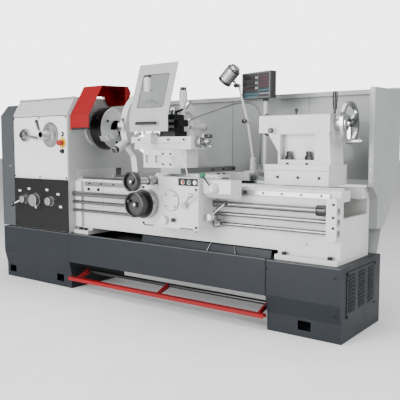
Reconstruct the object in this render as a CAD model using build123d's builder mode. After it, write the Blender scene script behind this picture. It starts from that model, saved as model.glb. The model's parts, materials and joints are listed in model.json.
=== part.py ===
from build123d import *

import math
import os

# Engine lathe on a sheet-steel stand. Millimetres, +Z up, +X from headstock to tailstock,
# -Y towards the operator. Origin: centre of the floor anchor bolts, on the floor.

# ---------------------------------------------------------------- driving dimensions
BASE_LENGTH = 2860
BASE_DEPTH = 572
BASE_HEIGHT = 405
LEFT_CABINET = 767
RIGHT_CABINET = 446
SHEET = 4
PLINTH_HEIGHT = 105
SKIRT_HEIGHT = 207
PLINTH_SETBACK = 25
SOLE_PLATE = 12
ANCHOR_SPACING_X = 2430
ANCHOR_SPACING_Y = 440
ANCHOR_HOLE_R = 11

WAY_TOP = 800
WAY_RIDGE = 14
CENTRE_HEIGHT = 365
AXIS_Y = 6
BED_FRONT = -191
BED_BACK = 204
BED_BELLY = 450
RUNNING = 0.08
SLIDING = 1.5
GAP = 2.0

SPINDLE_BORE_R = 52.5
SPINDLE_R = 72
CHUCK_R = 155
CHUCK_WIDTH = 110
JAW_WIDTH = 44
STEADY_R = 250
QUILL_R = 45
QUILL_BORE_R = 22.2
LEADSCREW_R = 17
FEED_ROD_R = 12
CONTROL_ROD_R = 11
TOOL_POST = 121

# ---------------------------------------------------------------- derived stations
X_LEFT = -BASE_LENGTH / 2
X_RIGHT = BASE_LENGTH / 2
Y_FRONT = -BASE_DEPTH / 2
Y_BACK = BASE_DEPTH / 2
HEAD_FACE = X_LEFT + LEFT_CABINET
SPAN_END = X_RIGHT - RIGHT_CABINET
BED_END = X_RIGHT - 45
AXIS_Z = WAY_TOP + CENTRE_HEIGHT
RIDGE_Z = WAY_TOP + WAY_RIDGE
SLIDE_Z = RIDGE_Z + SLIDING
HEAD_LEFT = X_LEFT + 140
HEAD_FRONT = Y_FRONT + 15
HEAD_BACK = 334
HEAD_SEAT = 868
HEAD_TOP = AXIS_Z + 219
ROD_Y = -226
LEADSCREW_Z = 695
FEED_ROD_Z = 637
CONTROL_ROD_Z = 577
STEADY_X = HEAD_FACE + 518
CARRIAGE_X = HEAD_FACE + 983
TAIL_X = BED_END - 316

os.makedirs("parts", exist_ok=True)


def block(x, y, z, mode=Mode.ADD):
    """A box between two limits on each axis, added to the open part."""
    middle = tuple((a + b) / 2 for a, b in (x, y, z))
    with Locations(middle):
        Box(x[1] - x[0], y[1] - y[0], z[1] - z[0], mode=mode)


def rod_x(x, y, z, radius, mode=Mode.ADD):
    """A cylinder along X between the two limits in x."""
    with Locations(((x[0] + x[1]) / 2, y, z)):
        Cylinder(radius, x[1] - x[0], rotation=(0, 90, 0), mode=mode)


def rod_y(x, y, z, radius, mode=Mode.ADD):
    """A cylinder along Y between the two limits in y."""
    with Locations((x, (y[0] + y[1]) / 2, z)):
        Cylinder(radius, y[1] - y[0], rotation=(90, 0, 0), mode=mode)


def rod_z(x, y, z, radius, mode=Mode.ADD):
    """A cylinder along Z between the two limits in z."""
    with Locations((x, y, (z[0] + z[1]) / 2)):
        Cylinder(radius, z[1] - z[0], mode=mode)


def plate_x(x, outline, mode=Mode.ADD):
    """A closed outline of (y, z) points extruded along X between two limits."""
    with BuildSketch(Plane.YZ.offset(x[0])) as section:
        with BuildLine():
            Polyline(*outline, close=True)
        make_face()
    extrude(section.sketch, amount=x[1] - x[0], mode=mode)


def plate_y(y, outline, mode=Mode.ADD):
    """A closed outline of (x, z) points extruded along Y between two limits."""
    with BuildSketch(Plane.XZ.offset(-y[1])) as section:
        with BuildLine():
            Polyline(*outline, close=True)
        make_face()
    extrude(section.sketch, amount=y[1] - y[0], mode=mode)


def plate_z(z, outline, mode=Mode.ADD):
    """A closed outline of (x, y) points extruded along Z between two limits."""
    with BuildSketch(Plane.XY.offset(z[0])) as section:
        with BuildLine():
            Polyline(*outline, close=True)
        make_face()
    extrude(section.sketch, amount=z[1] - z[0], mode=mode)


def strut(start, end, radius, mode=Mode.ADD):
    """A straight round bar from one point to another."""
    run = Vector(*end) - Vector(*start)
    with BuildSketch(Plane(origin=start, z_dir=run)) as section:
        Circle(radius)
    extrude(section.sketch, amount=run.length, mode=mode)


def bent_sheet(x, fold, thickness, mode=Mode.ADD):
    """A folded sheet: a line of (y, z) points, one thickness to its left, run along X."""
    with BuildSketch(Plane.YZ.offset(x[0])) as section:
        with BuildLine():
            Polyline(*fold)
            offset(amount=thickness, side=Side.LEFT, kind=Kind.INTERSECTION)
        make_face()
    extrude(section.sketch, amount=x[1] - x[0], mode=mode)


def ball(centre, radius):
    """A ball knob with its poles along Y, so its seam stays clear of the lever."""
    with Locations(centre):
        Sphere(radius, rotation=(90, 0, 25))


def save(piece, name):
    """Label a finished part and write it to its own STEP file."""
    piece.part.label = name
    export_step(piece.part, f"parts/{name}.step")


# ================================================================ stand
def cabinet_profile(inset=0):
    """Side outline of a cabinet: plumb above, leaning in to a recessed plinth in front."""
    front = Y_FRONT + inset
    return [
        (front, BASE_HEIGHT - inset),
        (front, SKIRT_HEIGHT),
        (front + PLINTH_SETBACK, PLINTH_HEIGHT),
        (front + PLINTH_SETBACK, inset and SOLE_PLATE),
        (Y_BACK - inset, inset and SOLE_PLATE),
        (Y_BACK - inset, BASE_HEIGHT - inset),
    ]


TRAY_FLOOR = 330
TRAY_LIP = BED_BELLY - 6
TRAY_SPLIT = HEAD_FACE + 651
TRAY_X = (HEAD_FACE + 8, SPAN_END - 8)
TRAY_Y = (-236, 262)
RAIL = 26
BRAKE_Y = -150
BRAKE_Z = 120
BRAKE_SHAFT_R = 13
POCKET = (78, 52)
POCKET_Z = 64
ANCHOR_X = ANCHOR_SPACING_X / 2
ANCHOR_Y = ANCHOR_SPACING_Y / 2


def pocket(x):
    """Hand pocket through the plinth front, next to a floor bolt."""
    low = (x - POCKET[0] / 2, x + POCKET[0] / 2)
    high = (POCKET_Z - POCKET[1] / 2, POCKET_Z + POCKET[1] / 2)
    block(low, (Y_FRONT + PLINTH_SETBACK - 1, Y_FRONT + PLINTH_SETBACK + SHEET + 1), high, Mode.SUBTRACT)


with BuildPart() as left_cabinet:
    plate_x((X_LEFT, HEAD_FACE), cabinet_profile())
    plate_x((X_LEFT + SHEET, HEAD_FACE - SHEET), cabinet_profile(SHEET), Mode.SUBTRACT)
    block((X_LEFT + 90, HEAD_FACE - 90), (Y_FRONT + 110, Y_BACK - 90), (-1, SOLE_PLATE + 1), Mode.SUBTRACT)
    pocket(X_LEFT + 70)
    pocket(X_LEFT + 642)
    for y in (-ANCHOR_Y, ANCHOR_Y):
        rod_z(-ANCHOR_X, y, (-1, SOLE_PLATE + 1), ANCHOR_HOLE_R, Mode.SUBTRACT)
    block((HEAD_FACE, HEAD_FACE + RAIL), (TRAY_Y[0], Y_BACK - 10), (TRAY_FLOOR - 10, TRAY_FLOOR))
    rod_x((HEAD_FACE - SHEET - 1, HEAD_FACE + 1), BRAKE_Y, BRAKE_Z, BRAKE_SHAFT_R + RUNNING, Mode.SUBTRACT)
save(left_cabinet, "left_cabinet")

LOUVRE_Y = (-205, 205)
LOUVRE_Z = (125, 375)
LOUVRE_PLATE = 4

with BuildPart() as right_cabinet:
    plate_x((SPAN_END, X_RIGHT), cabinet_profile())
    plate_x((SPAN_END + SHEET, X_RIGHT - SHEET), cabinet_profile(SHEET), Mode.SUBTRACT)
    block((SPAN_END + 90, X_RIGHT - 90), (Y_FRONT + 110, Y_BACK - 90), (-1, SOLE_PLATE + 1), Mode.SUBTRACT)
    pocket(X_RIGHT - 215)
    block((X_RIGHT - SHEET - 1, X_RIGHT + 1), (LOUVRE_Y[0] + 25, LOUVRE_Y[1] - 25),
          (LOUVRE_Z[0] + 20, LOUVRE_Z[1] - 20), Mode.SUBTRACT)
    for y in (-ANCHOR_Y, ANCHOR_Y):
        rod_z(ANCHOR_X, y, (-1, SOLE_PLATE + 1), ANCHOR_HOLE_R, Mode.SUBTRACT)
    block((SPAN_END - RAIL, SPAN_END), (TRAY_Y[0], Y_BACK - 10), (TRAY_FLOOR - 10, TRAY_FLOOR))
    rod_x((SPAN_END - 1, SPAN_END + SHEET + 1), BRAKE_Y, BRAKE_Z, BRAKE_SHAFT_R + RUNNING, Mode.SUBTRACT)
save(right_cabinet, "right_cabinet")

LOUVRE_ROWS = 10
LOUVRE_COLUMNS = 3

with BuildPart() as louvre_cover:
    block((X_RIGHT, X_RIGHT + LOUVRE_PLATE), LOUVRE_Y, LOUVRE_Z)
    slot_y = (LOUVRE_Y[1] - LOUVRE_Y[0]) / LOUVRE_COLUMNS
    slot_z = (LOUVRE_Z[1] - LOUVRE_Z[0] - 40) / LOUVRE_ROWS
    with BuildSketch(Plane.YZ.offset(X_RIGHT)):
        with Locations(((LOUVRE_Y[0] + LOUVRE_Y[1]) / 2, (LOUVRE_Z[0] + LOUVRE_Z[1]) / 2)):
            with GridLocations(slot_y, slot_z, LOUVRE_COLUMNS, LOUVRE_ROWS):
                Rectangle(slot_y * 0.72, 7)
    extrude(amount=LOUVRE_PLATE, mode=Mode.SUBTRACT)
save(louvre_cover, "louvre_cover")

with BuildPart() as front_panel:
    fold = [
        (Y_FRONT + 40, SKIRT_HEIGHT - 2),
        (Y_FRONT, SKIRT_HEIGHT - 2),
        (Y_FRONT, BASE_HEIGHT),
        (Y_FRONT + 22, BASE_HEIGHT),
    ]
    bent_sheet((HEAD_FACE, SPAN_END), fold, -SHEET)
save(front_panel, "front_panel")

with BuildPart() as chip_tray:
    block(TRAY_X, TRAY_Y, (TRAY_FLOOR, TRAY_FLOOR + 3))
    block(TRAY_X, (TRAY_Y[1] - 3, TRAY_Y[1]), (TRAY_FLOOR, BASE_HEIGHT - 10))
    for x in (TRAY_X[0], TRAY_X[1] - 3):
        block((x, x + 3), TRAY_Y, (TRAY_FLOOR, BASE_HEIGHT - 10))
    block((TRAY_X[0], TRAY_SPLIT), (TRAY_Y[0], TRAY_Y[0] + 3), (TRAY_FLOOR, BASE_HEIGHT - 10))
    plate_x((TRAY_SPLIT, TRAY_X[1]), [
        (TRAY_Y[0], TRAY_FLOOR), (TRAY_Y[0] + 3, TRAY_FLOOR),
        (-199, TRAY_LIP), (-204, TRAY_LIP),
    ])
save(chip_tray, "chip_tray")

# ---------------------------------------------------------------- foot brake
TREAD_Y = (Y_FRONT - 14, Y_FRONT + 24)
TREAD_Z = (70, 92)
BRAKE_X = (HEAD_FACE + GAP, SPAN_END - GAP)

with BuildPart() as foot_brake:
    rod_x((HEAD_FACE - 12, SPAN_END + 12), BRAKE_Y, BRAKE_Z, BRAKE_SHAFT_R)
    block((BRAKE_X[0] + 4, BRAKE_X[1] - 4), TREAD_Y, TREAD_Z)
    block((BRAKE_X[0] + 3, BRAKE_X[1] - 3), (TREAD_Y[0] + 4, TREAD_Y[1] - 4),
          (TREAD_Z[0] - 1, TREAD_Z[1] - 4), Mode.SUBTRACT)
    for x in (BRAKE_X[0] + 60, (BRAKE_X[0] + BRAKE_X[1]) / 2, BRAKE_X[1] - 60):
        plate_x((x, x + 12), [
            (TREAD_Y[1] - 5, TREAD_Z[0]), (TREAD_Y[1] - 5, TREAD_Z[1]),
            (BRAKE_Y - 8, BRAKE_Z + 16), (BRAKE_Y + 14, BRAKE_Z), (BRAKE_Y, BRAKE_Z - 18),
        ])
save(foot_brake, "foot_brake")

# ================================================================ bed
FLANGE_H = 60
WEB = 30
FRONT_FLANGE = (BED_FRONT, BED_FRONT + 115)
REAR_FLANGE = (BED_BACK - 115, BED_BACK)
FOOT_LEFT = (HEAD_FACE, HEAD_FACE + 150)
FOOT_RIGHT = (BED_END - 375, BED_END)
RIB = 22


def way_ridge(y, half=17):
    """Vee ridge that guides the carriage along the bed."""
    return [(y - half, WAY_TOP - 1), (y, RIDGE_Z), (y + half, WAY_TOP - 1)]


with BuildPart() as bed:
    bed_x = (HEAD_FACE, BED_END)
    for flange, web_y in ((FRONT_FLANGE, (BED_FRONT, BED_FRONT + WEB)),
                          (REAR_FLANGE, (BED_BACK - WEB, BED_BACK))):
        block(bed_x, flange, (WAY_TOP - FLANGE_H, WAY_TOP))
        block(bed_x, web_y, (BED_BELLY, WAY_TOP - FLANGE_H))
        block(bed_x, (flange[0], flange[1]), (BED_BELLY, BED_BELLY + 24))
    plate_x(bed_x, way_ridge(BED_FRONT + 34))
    plate_x(bed_x, way_ridge(BED_BACK - 34))
    rib_count = 7
    for i in range(rib_count):
        x = bed_x[0] + (bed_x[1] - RIB - bed_x[0]) * i / (rib_count - 1)
        block((x, x + RIB), (BED_FRONT + WEB, BED_BACK - WEB), (BED_BELLY, WAY_TOP - 150))
    for foot in (FOOT_LEFT, FOOT_RIGHT):
        block(foot, (BED_FRONT, BED_BACK), (BASE_HEIGHT, BED_BELLY))
        block(foot, (BED_FRONT - 42, BED_FRONT), (BASE_HEIGHT, BASE_HEIGHT + 28))
    block((HEAD_LEFT + 6, HEAD_FACE), (BED_FRONT, BED_BACK), (BASE_HEIGHT, HEAD_SEAT))
    block((HEAD_LEFT + 40, HEAD_FACE - 34), (BED_FRONT + 30, BED_BACK - 30),
          (BASE_HEIGHT + 30, HEAD_SEAT - 30), Mode.SUBTRACT)
    block((HEAD_LEFT + 90, HEAD_FACE - 90), (BED_BACK - 31, BED_BACK + 1),
          (BASE_HEIGHT + 70, HEAD_SEAT - 70), Mode.SUBTRACT)
    block((HEAD_FACE, HEAD_FACE + 64), (BED_FRONT - 24, BED_FRONT), (BASE_HEIGHT + 52, WAY_TOP - 12))
    rod_x((HEAD_FACE - 1, HEAD_FACE + 65), ROD_Y, LEADSCREW_Z, LEADSCREW_R + 4, Mode.SUBTRACT)
    rod_x((HEAD_FACE - 1, HEAD_FACE + 65), ROD_Y, FEED_ROD_Z, FEED_ROD_R + 4, Mode.SUBTRACT)
    rod_x((HEAD_FACE - 1, HEAD_FACE + 65), ROD_Y, CONTROL_ROD_Z, CONTROL_ROD_R + 4, Mode.SUBTRACT)
save(bed, "bed")

BRACKET_X = (BED_END - 59, BED_END)
BRACKET_Y = (BED_FRONT - 58, BED_FRONT)

with BuildPart() as end_bracket:
    block(BRACKET_X, BRACKET_Y, (565 - 24, 764))
    fillet(end_bracket.edges().filter_by(Axis.Y).group_by(Axis.X)[-1], 14)
    rod_x((BRACKET_X[0] - 1, BRACKET_X[1] + 1), ROD_Y, LEADSCREW_Z, LEADSCREW_R + RUNNING, Mode.SUBTRACT)
    rod_x((BRACKET_X[0] - 1, BRACKET_X[1] + 1), ROD_Y, FEED_ROD_Z, FEED_ROD_R + RUNNING, Mode.SUBTRACT)
    rod_x((BRACKET_X[0] - 1, BRACKET_X[1] + 1), ROD_Y, CONTROL_ROD_Z, CONTROL_ROD_R + RUNNING, Mode.SUBTRACT)
save(end_bracket, "end_bracket")

# ================================================================ feed gearbox and rods
BOX_X = (HEAD_LEFT, HEAD_FACE - 2)
BOX_Y = (Y_FRONT + 10, BED_FRONT)
BOX_Z = (BASE_HEIGHT + 6, HEAD_SEAT)
BOX_PANEL_TOP = 792
BOX_WALL = 8
KNOB_Z = 633
KNOBS = {"feed_knob_left": (X_LEFT + 285, 27), "feed_knob_middle": (X_LEFT + 414, 45),
         "feed_knob_right": (X_LEFT + 588, 30)}
KNOB_SHAFT_R = 10

with BuildPart() as feed_gearbox:
    block(BOX_X, (BOX_Y[0] + 5, BOX_Y[1]), BOX_Z)
    block(BOX_X, (BOX_Y[0], BOX_Y[0] + 5), (BOX_Z[0] + 6, BOX_PANEL_TOP))
    block((BOX_X[0] + BOX_WALL, BOX_X[1] - BOX_WALL), (BOX_Y[0] + 5 + BOX_WALL, BOX_Y[1] - BOX_WALL),
          (BOX_Z[0] + BOX_WALL, BOX_Z[1] - BOX_WALL), Mode.SUBTRACT)
    for knob_x, knob_r in KNOBS.values():
        rod_y(knob_x, (BOX_Y[0] - 1, BOX_Y[0] + 20), KNOB_Z, KNOB_SHAFT_R + RUNNING, Mode.SUBTRACT)
    wall = (BOX_X[1] - BOX_WALL - 1, BOX_X[1] + 1)
    rod_x(wall, ROD_Y, LEADSCREW_Z, LEADSCREW_R + RUNNING, Mode.SUBTRACT)
    rod_x(wall, ROD_Y, FEED_ROD_Z, FEED_ROD_R + RUNNING, Mode.SUBTRACT)
    rod_x(wall, ROD_Y, CONTROL_ROD_Z, CONTROL_ROD_R + RUNNING, Mode.SUBTRACT)
save(feed_gearbox, "feed_gearbox")

SLEEVE_X = (BRACKET_X[0] - 64, BRACKET_X[0] - GAP)

with BuildPart() as leadscrew:
    rod_x((HEAD_FACE - 50, BRACKET_X[1] - 4), ROD_Y, LEADSCREW_Z, LEADSCREW_R)
    rod_x(SLEEVE_X, ROD_Y, LEADSCREW_Z, 30)
save(leadscrew, "leadscrew")

with BuildPart() as feed_rod:
    rod_x((HEAD_FACE - 50, BRACKET_X[1] - 4), ROD_Y, FEED_ROD_Z, FEED_ROD_R)
save(feed_rod, "feed_rod")

with BuildPart() as control_rod:
    rod_x((HEAD_FACE - 50, BRACKET_X[1] - 4), ROD_Y, CONTROL_ROD_Z, CONTROL_ROD_R)
save(control_rod, "control_rod")

for name, (knob_x, knob_r) in KNOBS.items():
    front = BOX_Y[0] - GAP
    with BuildPart() as feed_knob:
        rod_y(knob_x, (front, BOX_Y[0] + 24), KNOB_Z, KNOB_SHAFT_R)
        rod_y(knob_x, (front - 16, front), KNOB_Z, knob_r + 5)
        rod_y(knob_x, (front - 52, front - 16), KNOB_Z, knob_r)
        chamfer(feed_knob.edges().filter_by(GeomType.CIRCLE).group_by(Axis.Y)[0], 4)
        if name == "feed_knob_left":
            tip = (knob_x - 84, front - 66, KNOB_Z - 40)
            strut((knob_x - 5, front - 34, KNOB_Z), tip, 7)
            strut((knob_x - 74, front - 61, KNOB_Z - 35), (knob_x - 96, front - 70, KNOB_Z - 46), 14)
        if name == "feed_knob_middle":
            strut((knob_x + 12, front - 34, KNOB_Z - 20), (knob_x + 44, front - 44, KNOB_Z - 62), 10)
    save(feed_knob, name)

# ================================================================ headstock
HEAD_WALL = 22
HINGE = (HEAD_LEFT - 1.5, HEAD_BACK + 9)
HINGE_R = 8
HINGE_PIN_R = 4
HINGE_HEIGHTS = (HEAD_SEAT + 92, AXIS_Z + 95)
SLANT_Z = AXIS_Z + 110
SLANT_Y = Y_FRONT + 80
BOSS_R = 125
BOSS_X = HEAD_FACE + 22


def head_profile(inset=0):
    """End outline of the headstock: flat front, leaning brow, clipped back corner."""
    return [
        (HEAD_FRONT + inset, HEAD_SEAT + inset),
        (HEAD_FRONT + inset, SLANT_Z),
        (SLANT_Y + inset, HEAD_TOP + bool(inset)),
        (HEAD_BACK - 54 - inset, HEAD_TOP + bool(inset)),
        (HEAD_BACK - inset, HEAD_TOP - 45 - inset / 2),
        (HEAD_BACK - inset, HEAD_SEAT + inset),
    ]


DIALS = {"range_lever": X_LEFT + 301, "speed_dial": X_LEFT + 579}
DIAL_Z = AXIS_Z - 46
BUTTON_X = X_LEFT + 712
BUTTONS = {"emergency_stop": AXIS_Z - 104, "jog_button": AXIS_Z - 42, "reset_button": AXIS_Z - 165}
PANEL_Y = (Y_FRONT + 10, HEAD_FRONT)
DIAL_SHAFT_R = 11
BUTTON_R = 8

with BuildPart() as headstock:
    plate_x((HEAD_LEFT, HEAD_FACE), head_profile())
    plate_x((HEAD_LEFT + HEAD_WALL, HEAD_FACE - HEAD_WALL), head_profile(HEAD_WALL), Mode.SUBTRACT)
    rod_x((HEAD_FACE, BOSS_X), AXIS_Y, AXIS_Z, BOSS_R)
    rod_x((HEAD_LEFT - 1, BOSS_X + 1), AXIS_Y, AXIS_Z, SPINDLE_R + RUNNING, Mode.SUBTRACT)
    for dial_x in DIALS.values():
        rod_y(dial_x, (HEAD_FRONT - 1, HEAD_FRONT + HEAD_WALL + 1), DIAL_Z, DIAL_SHAFT_R + RUNNING, Mode.SUBTRACT)
    for button_z in BUTTONS.values():
        rod_y(BUTTON_X, (HEAD_FRONT - 1, HEAD_FRONT + HEAD_WALL + 1), button_z, BUTTON_R + 1, Mode.SUBTRACT)
    for z in HINGE_HEIGHTS:
        for low in (z - 42, z + 21):
            block((HEAD_LEFT, HEAD_LEFT + 30), (HEAD_BACK, HEAD_BACK + 6), (low, low + 21))
            rod_z(HINGE[0], HINGE[1], (low, low + 21), HINGE_R)
            rod_z(HINGE[0], HINGE[1], (low - 1, low + 22), HINGE_PIN_R + RUNNING, Mode.SUBTRACT)
save(headstock, "headstock")

GUARD_PIN = (141, AXIS_Z + 252)
GUARD_PIN_R = 8

with BuildPart() as headstock_lid:
    block((HEAD_LEFT - 1, HEAD_FACE + 1), (SLANT_Y - 8, 284), (HEAD_TOP, HEAD_TOP + 9))
    fillet(headstock_lid.edges().filter_by(Axis.Z), 4)
    block((HEAD_FACE - 44, HEAD_FACE - 10), (GUARD_PIN[0] - 18, GUARD_PIN[0] + 18), (HEAD_TOP + 8, GUARD_PIN[1] + 18))
    rod_x((HEAD_FACE - 45, HEAD_FACE - 9), GUARD_PIN[0], GUARD_PIN[1], GUARD_PIN_R + RUNNING, Mode.SUBTRACT)
save(headstock_lid, "headstock_lid")

with BuildPart() as control_panel:
    block((HEAD_LEFT + 5, HEAD_FACE - 1), PANEL_Y, (BOX_PANEL_TOP + 2, SLANT_Z - 17))
    for dial_x in DIALS.values():
        rod_y(dial_x, (PANEL_Y[0] - 1, PANEL_Y[1] + 1), DIAL_Z, DIAL_SHAFT_R + 1, Mode.SUBTRACT)
    for button_z in BUTTONS.values():
        rod_y(BUTTON_X, (PANEL_Y[0] - 1, PANEL_Y[1] + 1), button_z, BUTTON_R + 1, Mode.SUBTRACT)
save(control_panel, "control_panel")

with BuildPart() as range_lever:
    dial_x = DIALS["range_lever"]
    front = PANEL_Y[0] - GAP
    rod_y(dial_x, (front, HEAD_FRONT + HEAD_WALL + 8), DIAL_Z, DIAL_SHAFT_R)
    rod_y(dial_x, (front - 22, front), DIAL_Z, 48)
    rod_y(dial_x, (front - 46, front - 22), DIAL_Z, 26)
    strut((dial_x, front - 34, DIAL_Z), (dial_x + 175, front - 46, DIAL_Z - 22), 8)
    strut((dial_x + 130, front - 43, DIAL_Z - 16), (dial_x + 185, front - 47, DIAL_Z - 23), 11)
save(range_lever, "range_lever")

with BuildPart() as speed_dial:
    dial_x = DIALS["speed_dial"]
    rod_y(dial_x, (front, HEAD_FRONT + HEAD_WALL + 8), DIAL_Z, DIAL_SHAFT_R)
    rod_y(dial_x, (front - 26, front), DIAL_Z, 65)
    chamfer(speed_dial.edges().filter_by(GeomType.CIRCLE).group_by(Axis.Y)[0], 6)
    rod_y(dial_x, (front - 88, front - 26), DIAL_Z, 21)
    strut((dial_x, front - 76, DIAL_Z), (dial_x - 16, front - 88, DIAL_Z + 44), 7)
    strut((dial_x - 15, front - 87, DIAL_Z + 40), (dial_x - 34, front - 98, DIAL_Z + 108), 10)
save(speed_dial, "speed_dial")

HEADS = {"emergency_stop": (20, 30), "jog_button": (11, 12), "reset_button": (11, 12)}
for name, button_z in BUTTONS.items():
    head_r, head_h = HEADS[name]
    with BuildPart() as push_button:
        rod_y(BUTTON_X, (front - 8, HEAD_FRONT + HEAD_WALL - 4), button_z, BUTTON_R)
        rod_y(BUTTON_X, (front - 8 - head_h, front - 8), button_z, head_r)
        fillet(push_button.edges().filter_by(GeomType.CIRCLE).group_by(Axis.Y)[0], 3)
    save(push_button, name)

CABINET_X = (HEAD_LEFT + 70, HEAD_FACE - 70)
CABINET_Z = (HEAD_SEAT - 150, HEAD_TOP - 120)

with BuildPart() as electric_cabinet:
    block(CABINET_X, (HEAD_BACK, HEAD_BACK + 160), CABINET_Z)
    block((CABINET_X[0] + 3, CABINET_X[1] - 3), (HEAD_BACK + 3, HEAD_BACK + 157),
          (CABINET_Z[0] + 3, CABINET_Z[1] - 3), Mode.SUBTRACT)
    block((CABINET_X[0] + 18, CABINET_X[1] - 18), (HEAD_BACK + 160, HEAD_BACK + 166),
          (CABINET_Z[0] + 18, CABINET_Z[1] - 18))
save(electric_cabinet, "electric_cabinet")

# ---------------------------------------------------------------- gear end cover
COVER_X = (X_LEFT - 18, HEAD_LEFT - 3)
COVER_TOP = AXIS_Z + 193
COVER_T = 3


def cover_profile(inset=0):
    """End outline of the gear cover, one chamfer along its front top edge."""
    return [
        (Y_FRONT + 10 + inset, BASE_HEIGHT + 9 + inset),
        (Y_FRONT + 10 + inset, AXIS_Z + 108),
        (Y_FRONT + 80, COVER_TOP - 3 - inset),
        (HEAD_BACK - inset, COVER_TOP - inset),
        (HEAD_BACK - inset, BASE_HEIGHT + 9 + inset),
    ]


with BuildPart() as end_cover:
    plate_x(COVER_X, cover_profile())
    plate_x((COVER_X[0] + COVER_T, COVER_X[1] + 1), cover_profile(COVER_T), Mode.SUBTRACT)
    rod_x((COVER_X[0] - 1, COVER_X[0] + COVER_T + 1), AXIS_Y, AXIS_Z, SPINDLE_BORE_R + 12, Mode.SUBTRACT)
    for z in HINGE_HEIGHTS:
        block((HEAD_LEFT - 34, HEAD_LEFT - 3), (HEAD_BACK, HEAD_BACK + 6), (z - 20.5, z + 20.5))
        rod_z(HINGE[0], HINGE[1], (z - 20.5, z + 20.5), HINGE_R)
        rod_z(HINGE[0], HINGE[1], (z - 42, z + 42), HINGE_PIN_R)
save(end_cover, "end_cover")

# ---------------------------------------------------------------- spindle and chuck
CHUCK_BACK = HEAD_FACE + 98
CHUCK_FACE = CHUCK_BACK + CHUCK_WIDTH
JAW_DEPTH = 42
JAW_SLOT = CHUCK_FACE - JAW_DEPTH
PULLEY_R = 105

with BuildPart() as spindle:
    rod_x((HEAD_LEFT - 62, CHUCK_BACK), AXIS_Y, AXIS_Z, SPINDLE_R)
    rod_x((BOSS_X + GAP, CHUCK_BACK), AXIS_Y, AXIS_Z, 96)
    rod_x((HEAD_LEFT - 70, HEAD_LEFT - 20), AXIS_Y, AXIS_Z, PULLEY_R)
    rod_x((HEAD_LEFT + 180, HEAD_LEFT + 230), AXIS_Y, AXIS_Z, 150)
    rod_x((HEAD_LEFT + 330, HEAD_LEFT + 380), AXIS_Y, AXIS_Z, 118)
    rod_x((HEAD_LEFT - 71, CHUCK_BACK + 1), AXIS_Y, AXIS_Z, SPINDLE_BORE_R, Mode.SUBTRACT)
save(spindle, "spindle")

with BuildPart() as chuck_body:
    rod_x((CHUCK_BACK, CHUCK_FACE), AXIS_Y, AXIS_Z, CHUCK_R)
    chamfer(chuck_body.edges().filter_by(GeomType.CIRCLE).group_by(Axis.X)[-1], 3)
    rod_x((CHUCK_BACK - 1, CHUCK_FACE + 1), AXIS_Y, AXIS_Z, SPINDLE_BORE_R, Mode.SUBTRACT)
    for turn in range(3):
        with Locations(Location((0, AXIS_Y, AXIS_Z), (120 * turn, 0, 0))):
            with Locations((CHUCK_FACE - JAW_DEPTH / 2, 0, CHUCK_R / 2 + 5)):
                Box(JAW_DEPTH + 0.01, JAW_WIDTH + 2 * RUNNING, CHUCK_R + 10, mode=Mode.SUBTRACT)
save(chuck_body, "chuck_body")

JAW_BORE = 58
JAW_STEPS = ((0, 150, JAW_SLOT + 0.2, CHUCK_FACE + 16), (0, 58, CHUCK_FACE + 15, CHUCK_FACE + 66),
             (58, 84, CHUCK_FACE + 15, CHUCK_FACE + 40))
for turn in range(3):
    with BuildPart() as chuck_jaw:
        with Locations(Location((0, AXIS_Y, AXIS_Z), (120 * turn, 0, 0))):
            for inner, outer, x_low, x_high in JAW_STEPS:
                low = JAW_BORE + inner
                high = min(JAW_BORE + outer, CHUCK_R - 8)
                with Locations(((x_low + x_high) / 2, 0, (low + high) / 2)):
                    Box(x_high - x_low, JAW_WIDTH, high - low)
    save(chuck_jaw, f"chuck_jaw_{turn + 1}")

# ---------------------------------------------------------------- chuck guard
GUARD_X = (HEAD_FACE + 4, HEAD_FACE + 195)
GUARD_T = 3

with BuildPart() as chuck_guard:
    fold = [
        (Y_FRONT + 37, AXIS_Z - 9), (Y_FRONT + 39, AXIS_Z + 90), (Y_FRONT + 172, AXIS_Z + 300),
        (147, AXIS_Z + 311), (173, AXIS_Z + 272), (161, AXIS_Z + 231), (125, AXIS_Z + 173),
    ]
    bent_sheet(GUARD_X, fold, -GUARD_T)
    for x in (GUARD_X[0], GUARD_X[1] - GUARD_T):
        plate_x((x, x + GUARD_T), [
            (fold[3][0] - 32, fold[3][1] - 4), fold[3], fold[4], fold[5], fold[6],
            (fold[6][0] - 10, fold[6][1] + 30),
        ])
    rod_x((HEAD_FACE - 52, GUARD_X[1] - 1), GUARD_PIN[0], GUARD_PIN[1], GUARD_PIN_R)
save(chuck_guard, "chuck_guard")

# ================================================================ splash guard
WALL_Y = 562
WALL_TOP = AXIS_Z + 225
WALL_X = (HEAD_FACE + 219, X_RIGHT + 5)
WALL_T = 3

with BuildPart() as splash_guard:
    bent_sheet(WALL_X, [
        (WALL_Y - 26, WALL_TOP - 26), (WALL_Y - 26, WALL_TOP), (WALL_Y, WALL_TOP),
        (WALL_Y, WAY_TOP + 21), (317, 572), (274, 570), (BED_BACK + 8, BASE_HEIGHT + 12),
    ], -WALL_T)
    plate_x((WALL_X[1] - WALL_T, WALL_X[1]), [
        (124, WALL_TOP - 24), (124, WAY_TOP + 9), (BED_BACK + 2, WAY_TOP - 60), (BED_BACK + 2, 560),
        (274, 560), (317, 572), (WALL_Y - 1, WAY_TOP + 21), (WALL_Y - 1, WALL_TOP - 10),
    ])
    block((WALL_X[1] - 28, WALL_X[1] - 1), (124, 127), (WAY_TOP + 9, WALL_TOP - 24))
    block((BED_END + 1, WALL_X[1] - 1), (BED_BACK + 2, BED_BACK + 5), (560, WAY_TOP - 60))
save(splash_guard, "splash_guard")

# ================================================================ steady rest
RING_X = (STEADY_X - 25, STEADY_X + 25)
RING_IN = STEADY_R - 58
STEADY_FOOT = (STEADY_X - 38, STEADY_X + 38)
PART_GAP = 1.0


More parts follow.
